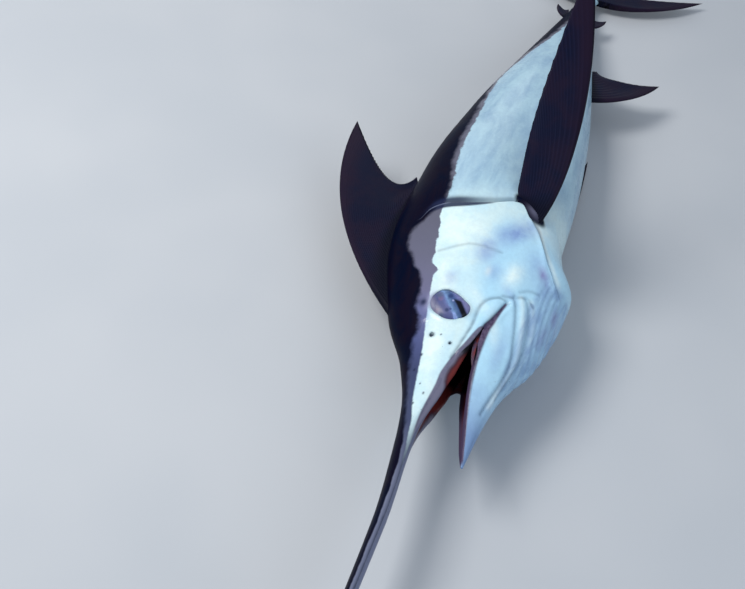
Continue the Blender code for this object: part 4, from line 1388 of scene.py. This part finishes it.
# %% [markdown]
# The fins are nearly black, with a maroon cast in clouds and along the front edge, and darkest at the root.
# The rays show as slightly lighter lines where the light catches them.

# %% Fin finish
FIN_DARK = srgb(12, 16, 40)
FIN_RAY = srgb(22, 26, 52)
FIN_MAROON = srgb(35, 22, 40)
FIN_ROOT = srgb(5, 9, 26)
fin_finish, tree, shader = new_material("wet_fin_skin", 0.5, 0.02, 0.22, 0.07)
colour = mix(tree, fade(tree, read(tree, "ray"), -0.4, 0.9, 0, 0.7), FIN_DARK, FIN_RAY)
cloud = fade(tree, noise(tree, 30, 4, 0.6), 0.35, 0.65)
colour = mix(tree, times(tree, cloud, 0.5), colour, FIN_MAROON)
front_edge = fade(tree, read(tree, "across"), 0.16, 0.0)
colour = mix(tree, times(tree, front_edge, 0.7), colour, FIN_MAROON)
colour = mix(tree, fade(tree, read(tree, "along"), 0.22, 0.04, 0, 0.85), colour, FIN_ROOT)
tree.links.new(colour, shader.inputs["Base Color"])
film = use(tree, wet_film, {"Strength": 0.3, "Ripple": 0.5})
tree.links.new(film["Normal"], shader.inputs["Normal"])
print("the fins' finish has", len(tree.nodes), "nodes")

# %% [markdown]
# The eye is one clear lens over a brown-grey iris and a wide pupil. The pupil's lower side is black, and over
# its upper side a reflection is painted: hazy blue with a pale band. An image could be laid on the ball.
# Here the bands are a ramp across the tilted eye, and the small marks are soft round spots.

# %% Colours of the eye
# Brown-grey iris at both ends, and between them the hazy blues of the painted reflection over the pupil
IRIS_AND_REFLECTION_STEPS = [(-24, (128, 126, 158)), (-18, (124, 124, 164)), (-12, (114, 118, 170)), (-7, (66, 88, 138)),
             (-4, (72, 98, 142)), (-1, (94, 124, 164)), (2, (118, 150, 198)), (5, (98, 108, 158)),
             (8, (86, 92, 138)), (12, (78, 84, 132)), (16, (100, 100, 132)), (20, (138, 138, 160)),
             (24, (138, 134, 160))]
# The pale spot at (-4.9, -1.6) is a painted glint
EYE_SPOTS = [((-10.4, 3.4), 1.5, 5.0, 0.85, (36, 58, 108)), ((-4.9, -1.6), 0.4, 2.2, 0.8, (165, 172, 215)),
             ((10.4, 2.0), 1.0, 3.6, 0.9, (30, 48, 98)), ((7.8, -1.8), 0.5, 2.4, 0.7, (36, 60, 108)),
             ((-3.8, 14.2), 1.5, 5.0, 0.6, (124, 104, 140)), ((-9.4, 16.8), 2.0, 7.0, 0.7, (84, 94, 120)),
             ((18.5, 7.2), 1.0, 5.0, 0.7, (56, 78, 112)), ((13.1, 14.5), 1.0, 5.0, 0.6, (125, 108, 130))]
# Pale band of the painted reflection
EYE_REFLECTION = srgb(150, 172, 228)
EYE_HAZE = srgb(52, 60, 100)
PUPIL_BLACK = srgb(1, 5, 20)
EYE_TILT = (0.644, 0.765)
print("the eye's bands lie at", round(math.degrees(math.atan2(*EYE_TILT))), "degrees")

# %% Eye finish
eye_finish, tree, shader = new_material("wet_eye", 0.36, 0.12, 0.2, 0.2)
along = calc(tree, "SUBTRACT", read(tree, "eye_along"), EYE_MIDDLE[0])
upward = calc(tree, "SUBTRACT", read(tree, "eye_up"), EYE_MIDDLE[1])
wobble = ragged_noise(tree, 110, 3, 0.55, 5.0)
tilted = calc(tree, "ADD", times(tree, along, EYE_TILT[0]), times(tree, upward, EYE_TILT[1]))
blurred = calc(tree, "ADD", tilted, wobble)
colour = blend_along(tree, blurred, IRIS_AND_REFLECTION_STEPS)
# A painted reflection: a pale band across the pupil's upper side
reflection_band = times(tree, fade(tree, blurred, -1.5, 0.5), fade(tree, blurred, 5, 3))
colour = mix(tree, times(tree, reflection_band, fade(tree, along, 9, 13)), colour, EYE_REFLECTION)
for (along_at, up_at), inner, outer, strength, shade in EYE_SPOTS:
    gap_along = calc(tree, "POWER", calc(tree, "SUBTRACT", along, along_at), 2.0)
    gap_up = calc(tree, "POWER", calc(tree, "SUBTRACT", upward, up_at), 2.0)
    gap = calc(tree, "SQRT", calc(tree, "ADD", gap_along, gap_up))
    colour = mix(tree, fade(tree, gap, outer, inner, 0, strength), colour, srgb(*shade))
# The black of the pupil is a band with a round rear end
rim = calc(tree, "ADD", tilted, times(tree, wobble, 0.3))
pupil = times(tree, fade(tree, rim, -4.6, -7.4), fade(tree, rim, -15.2, -11.6))
pupil = times(tree, pupil, fade(tree, along, -9, -5.5))
colour = mix(tree, pupil, colour, PUPIL_BLACK)
cloudy = fade(tree, noise(tree, 160, 3, 0.6), 0.45, 0.65, 0, 0.25)
colour = mix(tree, times(tree, cloudy, fade(tree, pupil, 1, 0)), colour, EYE_HAZE)
tree.links.new(colour, shader.inputs["Base Color"])
print("the eye's finish has", len(tree.nodes), "nodes")

# %% [markdown]
# The webs are wet membrane: dark red inside the mouth, with a pale front edge where the skin is thin. Real
# light shining through would do it, but it doesn't export, so the edge is simply coloured paler.

# %% Web finish
WEB_EDGE = srgb(84, 66, 78)
web_finish, tree, shader = new_material("wet_mouth_web", 0.6, 0.03, 0.2, 0.1)
blood = fade(tree, noise(tree, 90, 4, 0.6), 0.35, 0.65)
front = read(tree, "front")
colour = mix(tree, blood, MOUTH_RED, LIP_DARK)
# Painted shade: the web turns black towards the corner of the mouth
colour = mix(tree, fade(tree, front, 0.5, 0.1), colour, MOUTH_SHADE_BLACK)
colour = mix(tree, fade(tree, front, 0.86, 0.97), colour, WEB_EDGE)
tree.links.new(colour, shader.inputs["Base Color"])
tree.links.new(use(tree, wet_film, {"Strength": 0.4, "Ripple": 0.6})["Normal"], shader.inputs["Normal"])
print("the webs' finish has", len(tree.nodes), "nodes")

# %% [markdown]
# Each piece has one finish over its whole surface. Slots with faces picked by hand would draw hard borders
# between skin, lips and mouth, and on a fish they run into each other.

# %% Put the finishes on
pieces = [skin, *eyes, *fins.values(), *webs]
for wearers, finish in (([skin], skin_finish), (eyes, eye_finish), (fins.values(), fin_finish),
                        (webs, web_finish)):
    for obj in wearers:
        obj.data.materials.clear()
        obj.data.materials.append(finish)
print("pieces with a finish:", len(pieces))

# %% [markdown]
# The camera stands where the photo's did, over the bill and to the left of the fish, and looks down on it.
# A plain pale floor and soft lights show the shapes without a setting of their own.

# %% Floor and camera
LENS = 48.32
SENSOR = 36
CAMERA_PLACE = (840.1, 70.8, 976.1)
CAMERA_TURN = (41.003, -7.955, 110.523)
bpy.ops.mesh.primitive_plane_add(size=12, location=(0, 0, 0))
ground = bpy.context.object
ground.name = "studio_floor"

camera_data = bpy.data.cameras.new("photo_camera")
camera_data.lens = LENS
camera_data.sensor_width = SENSOR
camera = bpy.data.objects.new("photo_camera", camera_data)
bpy.context.scene.collection.objects.link(camera)
camera.location = ORIGIN + Vector(CAMERA_PLACE) * MM
camera.rotation_euler = [math.radians(angle) for angle in CAMERA_TURN]
bpy.context.scene.camera = camera
floor_finish, tree, shader = new_material("studio_paper", 0.85, specular=0.2)
grain = fade(tree, noise(tree, 3, 2), 0.3, 0.7)
tree.links.new(mix(tree, grain, srgb(190, 194, 199), srgb(196, 199, 203)), shader.inputs["Base Color"])
ground.data.materials.append(floor_finish)
print("the camera stands", round(camera.location.z, 2), "m up")

# %% [markdown]
# A wet fish shows its forms by broad, soft highlights. Small lamps would make hard sparks on it. One large
# key light stands on the side of the throat, a wider and bluer fill lights the other side, and a weak rear
# light draws the edge of the dark back.

# %% Lights
LIGHTS = (("key", (0.5, -1.5, 2.1), 1.0, 46, (1, 0.99, 0.97)),
          ("fill", (1.4, 1.6, 1.6), 1.6, 12, (0.8, 0.9, 1)),
          ("rear", (-2.2, -0.9, 1.1), 1.2, 6, (0.95, 0.98, 1)))
for name, place, size, power, colour in LIGHTS:
    light_data = bpy.data.lights.new(name, "AREA")
    light_data.size = size
    light_data.energy = power
    light_data.color = colour
    light = bpy.data.objects.new(name, light_data)
    light.location = place
    light.rotation_euler = (Vector((0, 0, 0)) - Vector(place)).to_track_quat("-Z", "Y").to_euler()
    bpy.context.scene.collection.objects.link(light)
world = bpy.data.worlds.new("studio")
world.use_nodes = True
world.node_tree.nodes["Background"].inputs["Color"].default_value = (0.8, 0.88, 1.0, 1)
world.node_tree.nodes["Background"].inputs["Strength"].default_value = 0.45
bpy.context.scene.world = world
bpy.context.scene.view_settings.view_transform = "Standard"
print("lights:", [name for name, *_ in LIGHTS])

# %% [markdown]
# Last, the pieces are tied to the imported fish. It is one stiff body, so every piece rides on the root. The
# skin takes the place of all the solids of head, body and tail stalk, and each fin and eye of its own solid.

# %% Tie the pieces to the fish
alone(skin)
bpy.ops.object.shade_smooth()
for piece in pieces:
    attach(piece, "root")
for ball, side_name in zip(eyes, ("left", "right")):
    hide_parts("eye_" + side_name)
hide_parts("first_dorsal_fin")
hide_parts("second_dorsal_fin")
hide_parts("first_anal_fin")
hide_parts("second_anal_fin")
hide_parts("pectoral_fin_left")
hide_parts("pectoral_fin_right")
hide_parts("tail_fin_upper")
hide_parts("tail_fin_lower")
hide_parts("head", "lower_jaw", "throat", "gill_cover_left", "gill_cover_right", "bill", "torso",
            "rear_trunk", "tail_stalk", "keel_left", "keel_right")
